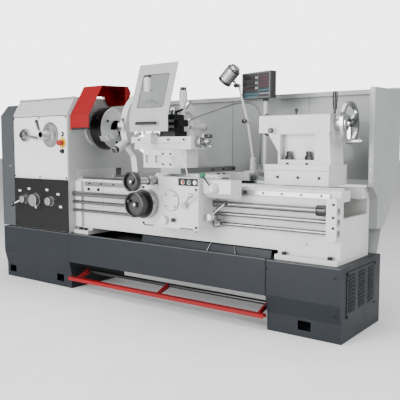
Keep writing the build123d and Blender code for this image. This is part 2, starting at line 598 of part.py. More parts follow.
def jaw_screw(angle, length=122):
    """One radial jaw of the steady: housing, jaw rod and thumb screw."""
    ray = (math.cos(math.radians(angle)), math.sin(math.radians(angle)))

    def at(radius):
        return (STEADY_X, AXIS_Y + radius * ray[0], AXIS_Z + radius * ray[1])

    strut(at(RING_IN + 20), at(STEADY_R + length - 30), 27)
    strut(at(STEADY_R + length - 31), at(STEADY_R + length), 23)
    strut(at(92), at(RING_IN + 21), 14)


def half_ring(upper):
    """Half of the steady's ring, parted along the horizontal through the axis."""
    cut = STEADY_R + 10
    side = -1 if upper else 1
    with BuildSketch(Plane.YZ.offset(RING_X[0])) as section:
        with Locations((AXIS_Y, AXIS_Z)):
            Circle(STEADY_R)
            Circle(RING_IN, mode=Mode.SUBTRACT)
        with Locations((AXIS_Y, AXIS_Z + side * (cut / 2 - PART_GAP / 2))):
            Rectangle(2 * cut, cut, mode=Mode.SUBTRACT)
    extrude(section.sketch, amount=RING_X[1] - RING_X[0])


STEADY_PIN = (AXIS_Y + STEADY_R + 4, AXIS_Z)
EAR_R = 14
EARS = ((RING_X[0], STEADY_X - 11), (STEADY_X + 11, RING_X[1]))
LATCH_Y = (AXIS_Y - STEADY_R - 22, AXIS_Y - STEADY_R + 14)

with BuildPart() as steady_base:
    half_ring(upper=False)
    block(STEADY_FOOT, (-166, 178), (SLIDE_Z, SLIDE_Z + 42))
    plate_x(RING_X, [
        (-130, SLIDE_Z + 41), (-150, AXIS_Z - 185), (-60, AXIS_Z - 226), (72, AXIS_Z - 226),
        (162, AXIS_Z - 185), (142, SLIDE_Z + 41),
    ])
    jaw_screw(205)
    jaw_screw(-25)
    rod_x((RING_X[0], RING_X[1]), AXIS_Y, AXIS_Z, 91, Mode.SUBTRACT)
    block(RING_X, LATCH_Y, (AXIS_Z - 26, AXIS_Z - PART_GAP / 2))
    rod_y(STEADY_X, (LATCH_Y[0] - 28, LATCH_Y[0]), AXIS_Z - 13, 12)
    block((STEADY_X - 11, STEADY_X + 11), (STEADY_PIN[0] - 20, STEADY_PIN[0] + 20),
          (AXIS_Z - 20, AXIS_Z), Mode.SUBTRACT)
    for ear in EARS:
        rod_x(ear, STEADY_PIN[0], STEADY_PIN[1], EAR_R)
        rod_x((ear[0] - 1, ear[1] + 1), STEADY_PIN[0], STEADY_PIN[1], 6 + RUNNING, Mode.SUBTRACT)
save(steady_base, "steady_base")

with BuildPart() as steady_top:
    half_ring(upper=True)
    jaw_screw(90)
    block(RING_X, LATCH_Y, (AXIS_Z + PART_GAP / 2, AXIS_Z + 26))
    rod_z(STEADY_X, LATCH_Y[0] + 11, (AXIS_Z + 26, AXIS_Z + 58), 11)
    for ear in EARS:
        block((ear[0] - 1, ear[1] + 1), (STEADY_PIN[0] - 20, STEADY_PIN[0] + 20), (AXIS_Z, AXIS_Z + 20), Mode.SUBTRACT)
    rod_x((STEADY_X - 10, STEADY_X + 10), STEADY_PIN[0], STEADY_PIN[1], EAR_R)
    rod_x(RING_X, STEADY_PIN[0], STEADY_PIN[1], 6)
save(steady_top, "steady_top")

# ================================================================ carriage
SADDLE_X = (CARRIAGE_X - 190, CARRIAGE_X + 300)
WING_TOP = SLIDE_Z + 49
BRIDGE_X = (CARRIAGE_X - 110, CARRIAGE_X + 110)
SADDLE_FRONT = BED_FRONT - 35
APRON_X = (CARRIAGE_X - 169, CARRIAGE_X + 269)
APRON_Y = (Y_FRONT - 100, BED_FRONT - 9)
APRON_Z = (546, WAY_TOP)
APRON_WALL = 14
CROSS_X = CARRIAGE_X - 70
CROSS_SCREW_Z = WAY_TOP + 30
WHEEL_X = CARRIAGE_X - 120
WHEEL_Z = 685
NUT_X = CARRIAGE_X + 178
NUT_Z = 689
LEVER_SHAFT_R = 9
STICK_X = CARRIAGE_X + 353
STICK_Z = 792

with BuildPart() as saddle:
    block(SADDLE_X, (SADDLE_FRONT, BED_FRONT + 95), (SLIDE_Z, WING_TOP))
    block(SADDLE_X, (BED_BACK - 90, BED_BACK + 30), (SLIDE_Z, WING_TOP))
    block(BRIDGE_X, (SADDLE_FRONT, BED_BACK + 30), (SLIDE_Z, WING_TOP + 3))
    block((CROSS_X + 33, APRON_X[1] - 2), (APRON_Y[0] + 2, SADDLE_FRONT), (WAY_TOP, WAY_TOP + 52))
    block((CROSS_X - 38, CROSS_X + 33), (APRON_Y[0] + 50, SADDLE_FRONT), (WAY_TOP, WAY_TOP + 58))
    rod_y(CROSS_X, (APRON_Y[0] + 49, SADDLE_FRONT - 40), CROSS_SCREW_Z, 12 + RUNNING, Mode.SUBTRACT)
    rod_y(CROSS_X, (APRON_Y[0] + 6, APRON_Y[0] + 50), CROSS_SCREW_Z, 26)
    rod_y(CROSS_X, (APRON_Y[0] + 5, APRON_Y[0] + 51), CROSS_SCREW_Z, 12 + RUNNING, Mode.SUBTRACT)
save(saddle, "saddle")

JOY_BOX_X = (APRON_X[1], APRON_X[1] + 200)
JOY_BOX_Y = (Y_FRONT - 60, SADDLE_FRONT - 8)
JOY_BOX_Z = (735, 842)

with BuildPart() as apron:
    block(APRON_X, APRON_Y, APRON_Z)
    fillet(apron.edges().filter_by(Axis.Z).group_by(Axis.Y)[0], 6)
    block((APRON_X[0] + APRON_WALL, APRON_X[1] - APRON_WALL), (APRON_Y[0] + APRON_WALL, APRON_Y[1] + 1),
          (APRON_Z[0] + APRON_WALL, APRON_Z[1] - APRON_WALL), Mode.SUBTRACT)
    for rod_z_at, rod_r in ((LEADSCREW_Z, LEADSCREW_R), (FEED_ROD_Z, FEED_ROD_R), (CONTROL_ROD_Z, CONTROL_ROD_R)):
        rod_x((APRON_X[0] - 1, APRON_X[1] + 1), ROD_Y, rod_z_at, rod_r + 3, Mode.SUBTRACT)
    rod_y(CARRIAGE_X + 65, (APRON_Y[0] - 5, APRON_Y[0]), 711, 60)
    rod_y(CARRIAGE_X + 18, (APRON_Y[0] - 24, APRON_Y[0]), 592, 26)
    plate_x(JOY_BOX_X, [
        (JOY_BOX_Y[0], JOY_BOX_Z[0] + 30), (JOY_BOX_Y[0], JOY_BOX_Z[1]), (JOY_BOX_Y[1], JOY_BOX_Z[1]),
        (JOY_BOX_Y[1], JOY_BOX_Z[0]), (JOY_BOX_Y[0] + 40, JOY_BOX_Z[0]),
    ])
    rod_y(WHEEL_X, (APRON_Y[0] - 1, APRON_Y[0] + APRON_WALL + 1), WHEEL_Z, 14 + RUNNING, Mode.SUBTRACT)
    rod_y(NUT_X, (APRON_Y[0] - 1, APRON_Y[0] + APRON_WALL + 1), NUT_Z, LEVER_SHAFT_R + RUNNING, Mode.SUBTRACT)
    rod_y(STICK_X, (JOY_BOX_Y[0] - 1, JOY_BOX_Y[0] + 26), STICK_Z, LEVER_SHAFT_R + RUNNING, Mode.SUBTRACT)
save(apron, "apron")


def dished_wheel(x, y, z, radius, handle_at, depth=34):
    """Solid dished handwheel facing the operator, with its folding handle in the rim."""
    rod_y(x, (y, y + depth), z, radius)
    rod_y(x, (y - 1, y + depth * 0.55), z, radius - 11, Mode.SUBTRACT)
    rod_y(x, (y + 6, y + depth), z, 17)
    with Locations((x + handle_at[0], y + depth * 0.38, z + handle_at[1])):
        Cylinder(9, depth * 0.9, rotation=(90, 0, 0))


WHEEL_FACE = APRON_Y[0] - 130
CROSS_FACE = APRON_Y[0] - 214

with BuildPart() as carriage_handwheel:
    dished_wheel(WHEEL_X, WHEEL_FACE, WHEEL_Z, 77, (-44, 20))
    rod_y(WHEEL_X, (WHEEL_FACE + 30, APRON_Y[0] + 30), WHEEL_Z, 14)
    rod_y(WHEEL_X, (APRON_Y[0] - 52, APRON_Y[0] - GAP), WHEEL_Z, 88)
    chamfer(carriage_handwheel.faces().filter_by(GeomType.PLANE).sort_by(Axis.Y)[-2].outer_wire().edges(), 5)
    rod_y(WHEEL_X, (APRON_Y[0] - 96, APRON_Y[0] - 52), WHEEL_Z, 58)
save(carriage_handwheel, "carriage_handwheel")

with BuildPart() as cross_handwheel:
    dished_wheel(CROSS_X, CROSS_FACE, CROSS_SCREW_Z, 58, (30, 16))
    rod_y(CROSS_X, (CROSS_FACE + 30, APRON_Y[0] + 100), CROSS_SCREW_Z, 12)
    rod_y(CROSS_X, (APRON_Y[0] - 60, APRON_Y[0] + 4), CROSS_SCREW_Z, 27)
    rod_y(CROSS_X, (CROSS_FACE + 34, APRON_Y[0] - 60), CROSS_SCREW_Z, 20)
save(cross_handwheel, "cross_handwheel")

with BuildPart() as half_nut_lever:
    rod_y(NUT_X, (APRON_Y[0] - 26, APRON_Y[0] - GAP), NUT_Z, 17)
    rod_y(NUT_X, (APRON_Y[0] - GAP, APRON_Y[0] + APRON_WALL + 8), NUT_Z, LEVER_SHAFT_R)
    strut((NUT_X, APRON_Y[0] - 18, NUT_Z), (NUT_X + 66, APRON_Y[0] - 44, NUT_Z + 62), 6)
    ball((NUT_X + 70, APRON_Y[0] - 46, NUT_Z + 66), 14)
save(half_nut_lever, "half_nut_lever")

with BuildPart() as joystick:
    rod_y(STICK_X, (JOY_BOX_Y[0] - 34, JOY_BOX_Y[0] - GAP), STICK_Z, 20)
    rod_y(STICK_X, (JOY_BOX_Y[0] - GAP, JOY_BOX_Y[0] + 22), STICK_Z, LEVER_SHAFT_R)
    strut((STICK_X, JOY_BOX_Y[0] - 20, STICK_Z), (STICK_X - 62, JOY_BOX_Y[0] - 24, STICK_Z + 72), 5)
    ball((STICK_X - 66, JOY_BOX_Y[0] - 24, STICK_Z + 77), 17)
save(joystick, "joystick")

START_X = APRON_X[1] + 14

with BuildPart() as start_lever:
    rod_x((START_X, START_X + 44), ROD_Y, CONTROL_ROD_Z, 24)
    strut((START_X + 22, ROD_Y - 8, CONTROL_ROD_Z + 6), (START_X + 22, ROD_Y - 96, CONTROL_ROD_Z + 46), 10)
    rod_y(START_X + 22, (ROD_Y - 112, ROD_Y - 84), CONTROL_ROD_Z + 46, 20)
    strut((START_X + 22, ROD_Y - 98, CONTROL_ROD_Z + 46), (START_X + 132, ROD_Y - 96, CONTROL_ROD_Z + 132), 6)
    ball((START_X + 136, ROD_Y - 96, CONTROL_ROD_Z + 136), 13)
    rod_x((START_X - 1, START_X + 45), ROD_Y, CONTROL_ROD_Z, CONTROL_ROD_R + RUNNING, Mode.SUBTRACT)
save(start_lever, "start_lever")

# ---------------------------------------------------------------- slides above the saddle
CROSS_Z = (WING_TOP + 3 + 0.5, WING_TOP + 38)
CROSS_SLIDE_X = (CARRIAGE_X - 88, CARRIAGE_X + 72)
CROSS_SLIDE_Y = (Y_FRONT - 14, 304)
RISER_X = (CARRIAGE_X - 227, CARRIAGE_X + 72)
RISER_Y = (Y_FRONT - 20, -126)
RISER_TOP = AXIS_Z - 149
PIVOT = (CARRIAGE_X - 78, -216)
TURN_Z = (RISER_TOP + 0.5, RISER_TOP + 40)
TOP_Z = (RISER_TOP + 41, RISER_TOP + 80)
TOP_X = (CARRIAGE_X - 350, CARRIAGE_X + 140)
TOP_Y = (-286, -146)
CRANK_Z = RISER_TOP + 48
SHIELD_Z = (AXIS_Z - 37, AXIS_Z + 61)
SHIELD_PIN = (TOP_Y[0] - 43, SHIELD_Z[0] - 16)
SHIELD_LUG = (PIVOT[0] - 110, PIVOT[0] - 60)

with BuildPart() as cross_slide:
    block(CROSS_SLIDE_X, CROSS_SLIDE_Y, CROSS_Z)
    chamfer(cross_slide.edges().filter_by(Axis.Y).group_by(Axis.Z)[-1], 3)
save(cross_slide, "cross_slide")

with BuildPart() as compound_base:
    plate_z((CROSS_Z[1], RISER_TOP), [
        (RISER_X[0], RISER_Y[0]), (RISER_X[1] - 62, RISER_Y[0]), (RISER_X[1], RISER_Y[0] + 62),
        (RISER_X[1], RISER_Y[1]), (RISER_X[0], RISER_Y[1]),
    ])
    for x in (RISER_X[0] + 48, RISER_X[0] + 128):
        block((x - 31, x + 31), (RISER_Y[0] - 1, RISER_Y[0] + 16), (CROSS_Z[1] + 30, CROSS_Z[1] + 78), Mode.SUBTRACT)
    block((RISER_X[0] + 20, RISER_X[1] - 30), (RISER_Y[0] + 40, RISER_Y[1] - 30),
          (CROSS_Z[1] - 1, RISER_TOP - 24), Mode.SUBTRACT)
    rod_z(PIVOT[0], PIVOT[1], (RISER_TOP - 25, RISER_TOP + 1), 22 + RUNNING, Mode.SUBTRACT)
save(compound_base, "compound_base")

with BuildPart() as swivel_slide:
    block((TOP_X[0] + 20, TOP_X[1] - 22), (TOP_Y[0] + 10, TOP_Y[1] - 10), TURN_Z)
    rod_z(PIVOT[0], PIVOT[1], (RISER_TOP - 20, TURN_Z[0]), 22)
save(swivel_slide, "swivel_slide")

with BuildPart() as top_slide:
    block(TOP_X, TOP_Y, TOP_Z)
    block((TOP_X[1] - 20, TOP_X[1]), TOP_Y, (TURN_Z[0] + 2, TOP_Z[0] + 1))
    chamfer(top_slide.edges().filter_by(Axis.X).group_by(Axis.Z)[-1], 3)
    rod_x((TOP_X[1] - 21, TOP_X[1] + 1), PIVOT[1], CRANK_Z, 9 + RUNNING, Mode.SUBTRACT)
    block(SHIELD_LUG, (SHIELD_PIN[0] - 9, TOP_Y[0]), (TOP_Z[0], SHIELD_PIN[1] + 8))
    rod_x((SHIELD_LUG[0] - 1, SHIELD_LUG[1] + 1), SHIELD_PIN[0], SHIELD_PIN[1], 5 + RUNNING, Mode.SUBTRACT)
save(top_slide, "top_slide")

with BuildPart() as compound_crank:
    rod_x((TOP_X[1] - 18, TOP_X[1] + 90), PIVOT[1], CRANK_Z, 9)
    rod_x((TOP_X[1] + GAP, TOP_X[1] + 46), PIVOT[1], CRANK_Z, 34)
    rod_x((TOP_X[1] + 46, TOP_X[1] + 78), PIVOT[1], CRANK_Z, 15)
    strut((TOP_X[1] + 72, PIVOT[1] - 34, CRANK_Z + 30), (TOP_X[1] + 72, PIVOT[1] + 34, CRANK_Z - 30), 8)
    strut((TOP_X[1] + 72, PIVOT[1] - 34, CRANK_Z + 30), (TOP_X[1] + 128, PIVOT[1] - 34, CRANK_Z + 30), 11)
save(compound_crank, "compound_crank")

POST_X = PIVOT[0] + 24
POST_TOP = AXIS_Z + 68

with BuildPart() as tool_post:
    half = TOOL_POST / 2
    middle_y = (TOP_Y[0] + TOP_Y[1]) / 2
    block((POST_X - half, POST_X + half), (middle_y - half, middle_y + half), (TOP_Z[1] + 0.5, TOP_Z[1] + 34))
    block((POST_X - 48, POST_X + 48), (middle_y - 48, middle_y + 48), (TOP_Z[1] + 34, POST_TOP))
    block((POST_X + 48, POST_X + 92), (middle_y - 34, middle_y + 34), (TOP_Z[1] + 62, POST_TOP - 34))
    rod_z(POST_X, middle_y, (POST_TOP, POST_TOP + 20), 24)
    strut((POST_X, middle_y, POST_TOP + 12), (POST_X + 92, middle_y + 6, POST_TOP + 36), 7)
    strut((POST_X + 91, middle_y + 6, POST_TOP + 35), (POST_X + 128, middle_y + 8, POST_TOP + 78), 9)
save(tool_post, "tool_post")

SHIELD_X = (CARRIAGE_X - 315, CARRIAGE_X + 3)
SHIELD_Y = TOP_Y[0] - 50
SHIELD_T = 3
SHIELD_TOP = (SHIELD_Y + 105, AXIS_Z + 390)

with BuildPart() as chip_shield:
    bent_sheet(SHIELD_X, [(SHIELD_Y, SHIELD_Z[0]), (SHIELD_Y, SHIELD_Z[1]), SHIELD_TOP], -SHIELD_T)
    lean = Vector(0, SHIELD_TOP[0] - SHIELD_Y, SHIELD_TOP[1] - SHIELD_Z[1])
    window = Plane(origin=((SHIELD_X[0] + SHIELD_X[1]) / 2, SHIELD_Y, SHIELD_Z[1]),
                   x_dir=(1, 0, 0), z_dir=lean.cross(Vector(1, 0, 0)))
    with BuildSketch(window):
        with Locations((0, lean.length * 0.47 * (1 if window.y_dir.Z > 0 else -1))):
            RectangleRounded(SHIELD_X[1] - SHIELD_X[0] - 100, lean.length - 120, 12)
    extrude(amount=20, both=True, mode=Mode.SUBTRACT)
    for x in (SHIELD_LUG[0] - 14, SHIELD_LUG[1] + 6):
        block((x, x + 8), (SHIELD_Y, SHIELD_PIN[0] + 7), (SHIELD_PIN[1] - 7, SHIELD_Z[0] + 10))
    rod_x((SHIELD_LUG[0] - 12, SHIELD_LUG[1] + 12), SHIELD_PIN[0], SHIELD_PIN[1], 5)
    block((SHIELD_X[0] + 90, SHIELD_X[0] + 106), (SHIELD_Y - 28, SHIELD_Y + 1), (AXIS_Z + 6, AXIS_Z + 20))
    block((SHIELD_X[0] + 214, SHIELD_X[0] + 230), (SHIELD_Y - 28, SHIELD_Y + 1), (AXIS_Z + 6, AXIS_Z + 20))
    rod_x((SHIELD_X[0] + 80, SHIELD_X[0] + 240), SHIELD_Y - 28, AXIS_Z + 13, 9)
save(chip_shield, "chip_shield")

# ---------------------------------------------------------------- follow rest
FOLLOW_X = (CARRIAGE_X - 180, CARRIAGE_X - 120)
FOLLOW_MID = (FOLLOW_X[0] + FOLLOW_X[1]) / 2

with BuildPart() as follow_rest:
    with BuildSketch(Plane.YZ.offset(FOLLOW_X[0] + 8)):
        with Locations((AXIS_Y, AXIS_Z)):
            Circle(160)
            Circle(104, mode=Mode.SUBTRACT)
        with Locations((AXIS_Y - 90, AXIS_Z)):
            Rectangle(180, 400, mode=Mode.SUBTRACT)
        with Locations((AXIS_Y + 20, AXIS_Z + 132)):
            Rectangle(70, 56)
    extrude(amount=44)
    plate_x((FOLLOW_X[0] + 8, FOLLOW_X[1] - 8), [
        (BED_BACK - 88, WING_TOP + 14), (AXIS_Y + 92, AXIS_Z - 80), (AXIS_Y + 150, AXIS_Z - 40),
        (BED_BACK + 20, WING_TOP + 14),
    ])
    block(FOLLOW_X, (BED_BACK - 90, BED_BACK + 28), (WING_TOP, WING_TOP + 18))
    strut((FOLLOW_MID, AXIS_Y, AXIS_Z + 100), (FOLLOW_MID, AXIS_Y, AXIS_Z + 240), 26)
    strut((FOLLOW_MID, AXIS_Y, AXIS_Z + 239), (FOLLOW_MID, AXIS_Y, AXIS_Z + 262), 20)
    strut((FOLLOW_MID, AXIS_Y, AXIS_Z + 60), (FOLLOW_MID, AXIS_Y, AXIS_Z + 101), 13)
    strut((FOLLOW_MID, AXIS_Y + 110, AXIS_Z), (FOLLOW_MID, AXIS_Y + 226, AXIS_Z), 26)
    strut((FOLLOW_MID, AXIS_Y + 225, AXIS_Z), (FOLLOW_MID, AXIS_Y + 246, AXIS_Z), 20)
    strut((FOLLOW_MID, AXIS_Y + 60, AXIS_Z), (FOLLOW_MID, AXIS_Y + 111, AXIS_Z), 13)
save(follow_rest, "follow_rest")

# ---------------------------------------------------------------- lamp, readout and coolant hose
BRACKET_TOP = WING_TOP + 10
LAMP = (CARRIAGE_X + 254, 240)
LAMP_PIVOT_Z = BRACKET_TOP + 74
POLE = (CARRIAGE_X + 300, 314)
POLE_R = 14
POLE_TOP = AXIS_Z + 168
HOSE_BASE = (CARRIAGE_X + 262, 312)

with BuildPart() as rear_bracket:
    block((CARRIAGE_X + 215, CARRIAGE_X + 298), (BED_BACK - 20, BED_BACK + 148), (WING_TOP, BRACKET_TOP))
    block((CARRIAGE_X + 270, CARRIAGE_X + 330), (POLE[1] - 30, POLE[1] + 38), (WING_TOP, BRACKET_TOP))
    rod_z(POLE[0], POLE[1], (BRACKET_TOP, POLE_TOP), POLE_R)
    rod_z(POLE[0], POLE[1], (POLE_TOP, POLE_TOP + 34), 8)
    rod_z(LAMP[0], LAMP[1], (BRACKET_TOP, LAMP_PIVOT_Z - 26), 22)
    rod_z(LAMP[0], LAMP[1], (BRACKET_TOP + 8, LAMP_PIVOT_Z - 25), 9 + RUNNING, Mode.SUBTRACT)
    rod_z(HOSE_BASE[0], HOSE_BASE[1], (BRACKET_TOP, BRACKET_TOP + 24), 13)
save(rear_bracket, "rear_bracket")

LAMP_ELBOW = (LAMP[0] - 47, LAMP[1], LAMP_PIVOT_Z + 253)
LAMP_NECK = (LAMP_ELBOW[0] - 70, LAMP[1], LAMP_ELBOW[2] + 236)

with BuildPart() as lamp_arm:
    base = (LAMP[0], LAMP[1], LAMP_PIVOT_Z)
    strut(base, LAMP_ELBOW, 8)
    strut(LAMP_ELBOW, LAMP_NECK, 7)
    rod_z(LAMP[0], LAMP[1], (BRACKET_TOP + 14, LAMP_PIVOT_Z - 20), 9)
    rod_z(LAMP[0], LAMP[1], (LAMP_PIVOT_Z - 24, LAMP_PIVOT_Z - 10), 20)
    rod_y(base[0], (LAMP[1] - 14, LAMP[1] + 14), base[2], 16)
    rod_y(LAMP_ELBOW[0], (LAMP[1] - 30, LAMP[1] + 12), LAMP_ELBOW[2], 13)
    rod_y(LAMP_NECK[0], (LAMP[1] - 10, LAMP[1] + 8), LAMP_NECK[2], 12)
    rod_y(LAMP_NECK[0], (LAMP[1] - 38, LAMP[1] - 9), LAMP_NECK[2], 4)
save(lamp_arm, "lamp_arm")

HEAD_AIM = Vector(-0.72, 0, -0.69)
LAMP_HEAD = Vector(LAMP_NECK[0] - 52, LAMP[1] - 46, LAMP_NECK[2] + 62)

with BuildPart() as lamp_head:
    strut(LAMP_HEAD - HEAD_AIM * 62, LAMP_HEAD + HEAD_AIM * 48, 46)
    strut(LAMP_HEAD - HEAD_AIM * 80, LAMP_HEAD - HEAD_AIM * 61, 34)
    strut((LAMP_NECK[0], LAMP[1] - 22, LAMP_NECK[2]), (LAMP_HEAD.X + 4, LAMP[1] - 22, LAMP_HEAD.Z - 4), 8)
    rod_y(LAMP_NECK[0], (LAMP[1] - 34, LAMP[1] - 11), LAMP_NECK[2], 13)
    strut(LAMP_HEAD - HEAD_AIM * 44, LAMP_HEAD + HEAD_AIM * 60, 39, Mode.SUBTRACT)
    rod_y(LAMP_NECK[0], (LAMP[1] - 35, LAMP[1] - 10), LAMP_NECK[2], 4 + RUNNING, Mode.SUBTRACT)
save(lamp_head, "lamp_head")

READOUT = (262, 58, 172)
READOUT_TURN = -14

with BuildPart() as readout:
    with Locations(Location((POLE[0] - 26, POLE[1] - 40, POLE_TOP + 14 + READOUT[2] / 2), (0, 0, READOUT_TURN))):
        Box(*READOUT)
    fillet(readout.edges().filter_by(Axis.Z), 10)
    rod_z(POLE[0], POLE[1], (POLE_TOP + 0.5, POLE_TOP + 60), 18)
    block((POLE[0] - 16, POLE[0] + 16), (POLE[1] - 24, POLE[1]), (POLE_TOP + 20, POLE_TOP + 60))
    rod_z(POLE[0], POLE[1], (POLE_TOP, POLE_TOP + 36), 8 + RUNNING, Mode.SUBTRACT)
save(readout, "readout")

HOSE_R = 6.5
HOSE_ROUTE = [
    (HOSE_BASE[0], HOSE_BASE[1], BRACKET_TOP + 25),
    (HOSE_BASE[0] + 2, HOSE_BASE[1] + 1, BRACKET_TOP + 110),
    (HOSE_BASE[0] + 1, HOSE_BASE[1] - 1, BRACKET_TOP + 205),
    (HOSE_BASE[0] + 4, HOSE_BASE[1] + 1, BRACKET_TOP + 300),
    (HOSE_BASE[0] - 4, HOSE_BASE[1] + 1, BRACKET_TOP + 382),
    (HOSE_BASE[0] - 38, HOSE_BASE[1] - 4, BRACKET_TOP + 437),
    (HOSE_BASE[0] - 104, HOSE_BASE[1] - 14, BRACKET_TOP + 459),
    (HOSE_BASE[0] - 178, HOSE_BASE[1] - 48, BRACKET_TOP + 450),
    (HOSE_BASE[0] - 248, HOSE_BASE[1] - 106, BRACKET_TOP + 419),
    (HOSE_BASE[0] - 300, HOSE_BASE[1] - 186, BRACKET_TOP + 385),
    (HOSE_BASE[0] - 336, HOSE_BASE[1] - 268, BRACKET_TOP + 354),
    (HOSE_BASE[0] - 358, HOSE_BASE[1] - 332, BRACKET_TOP + 330),
]
CABLE_R = 3
CABLE_ROUTE = [
    (RISER_X[1] - 70, RISER_Y[0] - 4, RISER_TOP - 56),
    (RISER_X[1] - 44, Y_FRONT - 44, RISER_TOP - 41),
    (RISER_X[1] - 12, Y_FRONT - 58, RISER_TOP - 31),
    (RISER_X[1] + 22, Y_FRONT - 65, RISER_TOP - 33),
    (RISER_X[1] + 52, Y_FRONT - 71, RISER_TOP - 52),
    (RISER_X[1] + 76, Y_FRONT - 77, RISER_TOP - 82),
    (RISER_X[1] + 95, Y_FRONT - 82, RISER_TOP - 113),
    (RISER_X[1] + 106, Y_FRONT - 86, RISER_TOP - 140),
    (RISER_X[1] + 110, Y_FRONT - 88, WAY_TOP + 54),
]


def bend_radii(route):
    """Largest arc at each corner that its two runs allow."""
    points = [Vector(*p) for p in route]
    radii = []
    for before, here, after in zip(points, points[1:], points[2:]):
        run_in, run_out = here - before, after - here
        turn = math.radians(run_in.get_angle(run_out))
        radii.append(0.45 * min(run_in.length, run_out.length) / math.tan(turn / 2))
    return radii


def free_tube(route, radius):
    """A hose or cable as straight runs joined by tangent arcs, and its length."""
    with BuildLine(mode=Mode.PRIVATE) as path:
        FilletPolyline(*route, radius=bend_radii(route))
    wire = path.wire()
    with BuildSketch(Plane(origin=wire.position_at(0), z_dir=wire.tangent_at(0)), mode=Mode.PRIVATE) as ring:
        Circle(radius)
    return sweep(ring.sketch, path=wire, mode=Mode.PRIVATE), wire.length


for name, route, radius in (("coolant_hose", HOSE_ROUTE, HOSE_R), ("button_cable", CABLE_ROUTE, CABLE_R)):
    tube, length = free_tube(route, radius)
    with BuildPart() as cord:
        add(tube)
    section = math.pi * radius**2
    print(name, "length", round(length), "radii", [round(r) for r in bend_radii(route)],
          "volume ratio", round(cord.part.volume / (section * length), 4))
    save(cord, name)

# ================================================================ tailstock
TAIL_BODY_X = (TAIL_X - 197, TAIL_X + 202)
TAIL_BASE_X = (TAIL_X - 197, TAIL_X + 207)
TAIL_BASE_Y = (-116, 130)
TAIL_BODY_Y = (AXIS_Y - 86, AXIS_Y + 86)
TAIL_BASE_TOP = WAY_TOP + 132
BARREL_X = (TAIL_X - 256, TAIL_X + 194)
BARREL_Z = (AXIS_Z - 52, AXIS_Z + 50)
BARREL_Y = (AXIS_Y - 90, AXIS_Y + 90)
WHEEL_RIM_X = BARREL_X[1] + 76
TAIL_WHEEL_R = 118

with BuildPart() as tailstock:
    block(TAIL_BASE_X, TAIL_BASE_Y, (SLIDE_Z, TAIL_BASE_TOP))
    plate_y(TAIL_BODY_Y, [
        (TAIL_BODY_X[0] + 68, TAIL_BASE_TOP), (TAIL_BODY_X[0] + 68, AXIS_Z - 160),
        (TAIL_BODY_X[0], BARREL_Z[0] + 1), (TAIL_BODY_X[1] - 14, BARREL_Z[0] + 1), (TAIL_BODY_X[1], TAIL_BASE_TOP),
    ])
    block((TAIL_BODY_X[0] + 81, TAIL_BODY_X[0] + 300), (TAIL_BODY_Y[0] - 1, TAIL_BODY_Y[0] + 44),
          (TAIL_BASE_TOP + 27, BARREL_Z[0] - 8), Mode.SUBTRACT)
    block(BARREL_X, BARREL_Y, BARREL_Z)
    fillet(tailstock.edges().filter_by(Axis.X).group_by(Axis.Z)[-1], 10)
    rod_x((BARREL_X[0] - 1, BARREL_X[1] - 20), AXIS_Y, AXIS_Z, QUILL_R + RUNNING, Mode.SUBTRACT)
    rod_x((BARREL_X[1] - 21, BARREL_X[1] + 1), AXIS_Y, AXIS_Z, 13 + RUNNING, Mode.SUBTRACT)
    for x in (TAIL_BODY_X[0] + 128, TAIL_BODY_X[0] + 252):
        rod_z(x, TAIL_BODY_Y[0] + 22, (TAIL_BASE_TOP, TAIL_BASE_TOP + 66), 13)
    rod_y(TAIL_X - 165, (BARREL_Y[0] - 16, BARREL_Y[0]), AXIS_Z - 38, 15)
    rod_y(TAIL_X + 121, (BARREL_Y[1], BARREL_Y[1] + 16), AXIS_Z - 20, 17)
    rod_y(TAIL_X + 121, (BARREL_Y[1] - 1, BARREL_Y[1] + 17), AXIS_Z - 20, 9 + RUNNING, Mode.SUBTRACT)
save(tailstock, "tailstock")

with BuildPart() as quill:
    rod_x((BARREL_X[0] - 6, BARREL_X[1] - 130), AXIS_Y, AXIS_Z, QUILL_R)
    rod_x((BARREL_X[0] - 7, BARREL_X[0] + 124), AXIS_Y, AXIS_Z, QUILL_BORE_R, Mode.SUBTRACT)
    rod_x((BARREL_X[0] + 150, BARREL_X[1] - 129), AXIS_Y, AXIS_Z, 14, Mode.SUBTRACT)
save(quill, "quill")

with BuildPart() as tailstock_handwheel:
    with BuildSketch(Plane.YZ.offset(WHEEL_RIM_X - 9)):
        with Locations((AXIS_Y, AXIS_Z)):
            Circle(TAIL_WHEEL_R)
            Circle(TAIL_WHEEL_R - 22, mode=Mode.SUBTRACT)
            with PolarLocations(TAIL_WHEEL_R / 2, 3, start_angle=30):
                Rectangle(TAIL_WHEEL_R - 14, 20)
            Circle(26)
    extrude(amount=18)
    rod_x((BARREL_X[1] + GAP, WHEEL_RIM_X - 9), AXIS_Y, AXIS_Z, 44)
    rod_x((BARREL_X[1] - 110, BARREL_X[1] + GAP), AXIS_Y, AXIS_Z, 13)
    rod_x((WHEEL_RIM_X + 8, WHEEL_RIM_X + 26), AXIS_Y, AXIS_Z, 19)
    grip = (AXIS_Y - 30, AXIS_Z - 101)
    rod_x((WHEEL_RIM_X + 8, min(WHEEL_RIM_X + 88, X_RIGHT - 6)), grip[0], grip[1], 10)
save(tailstock_handwheel, "tailstock_handwheel")

CLAMP_X = TAIL_X + 121

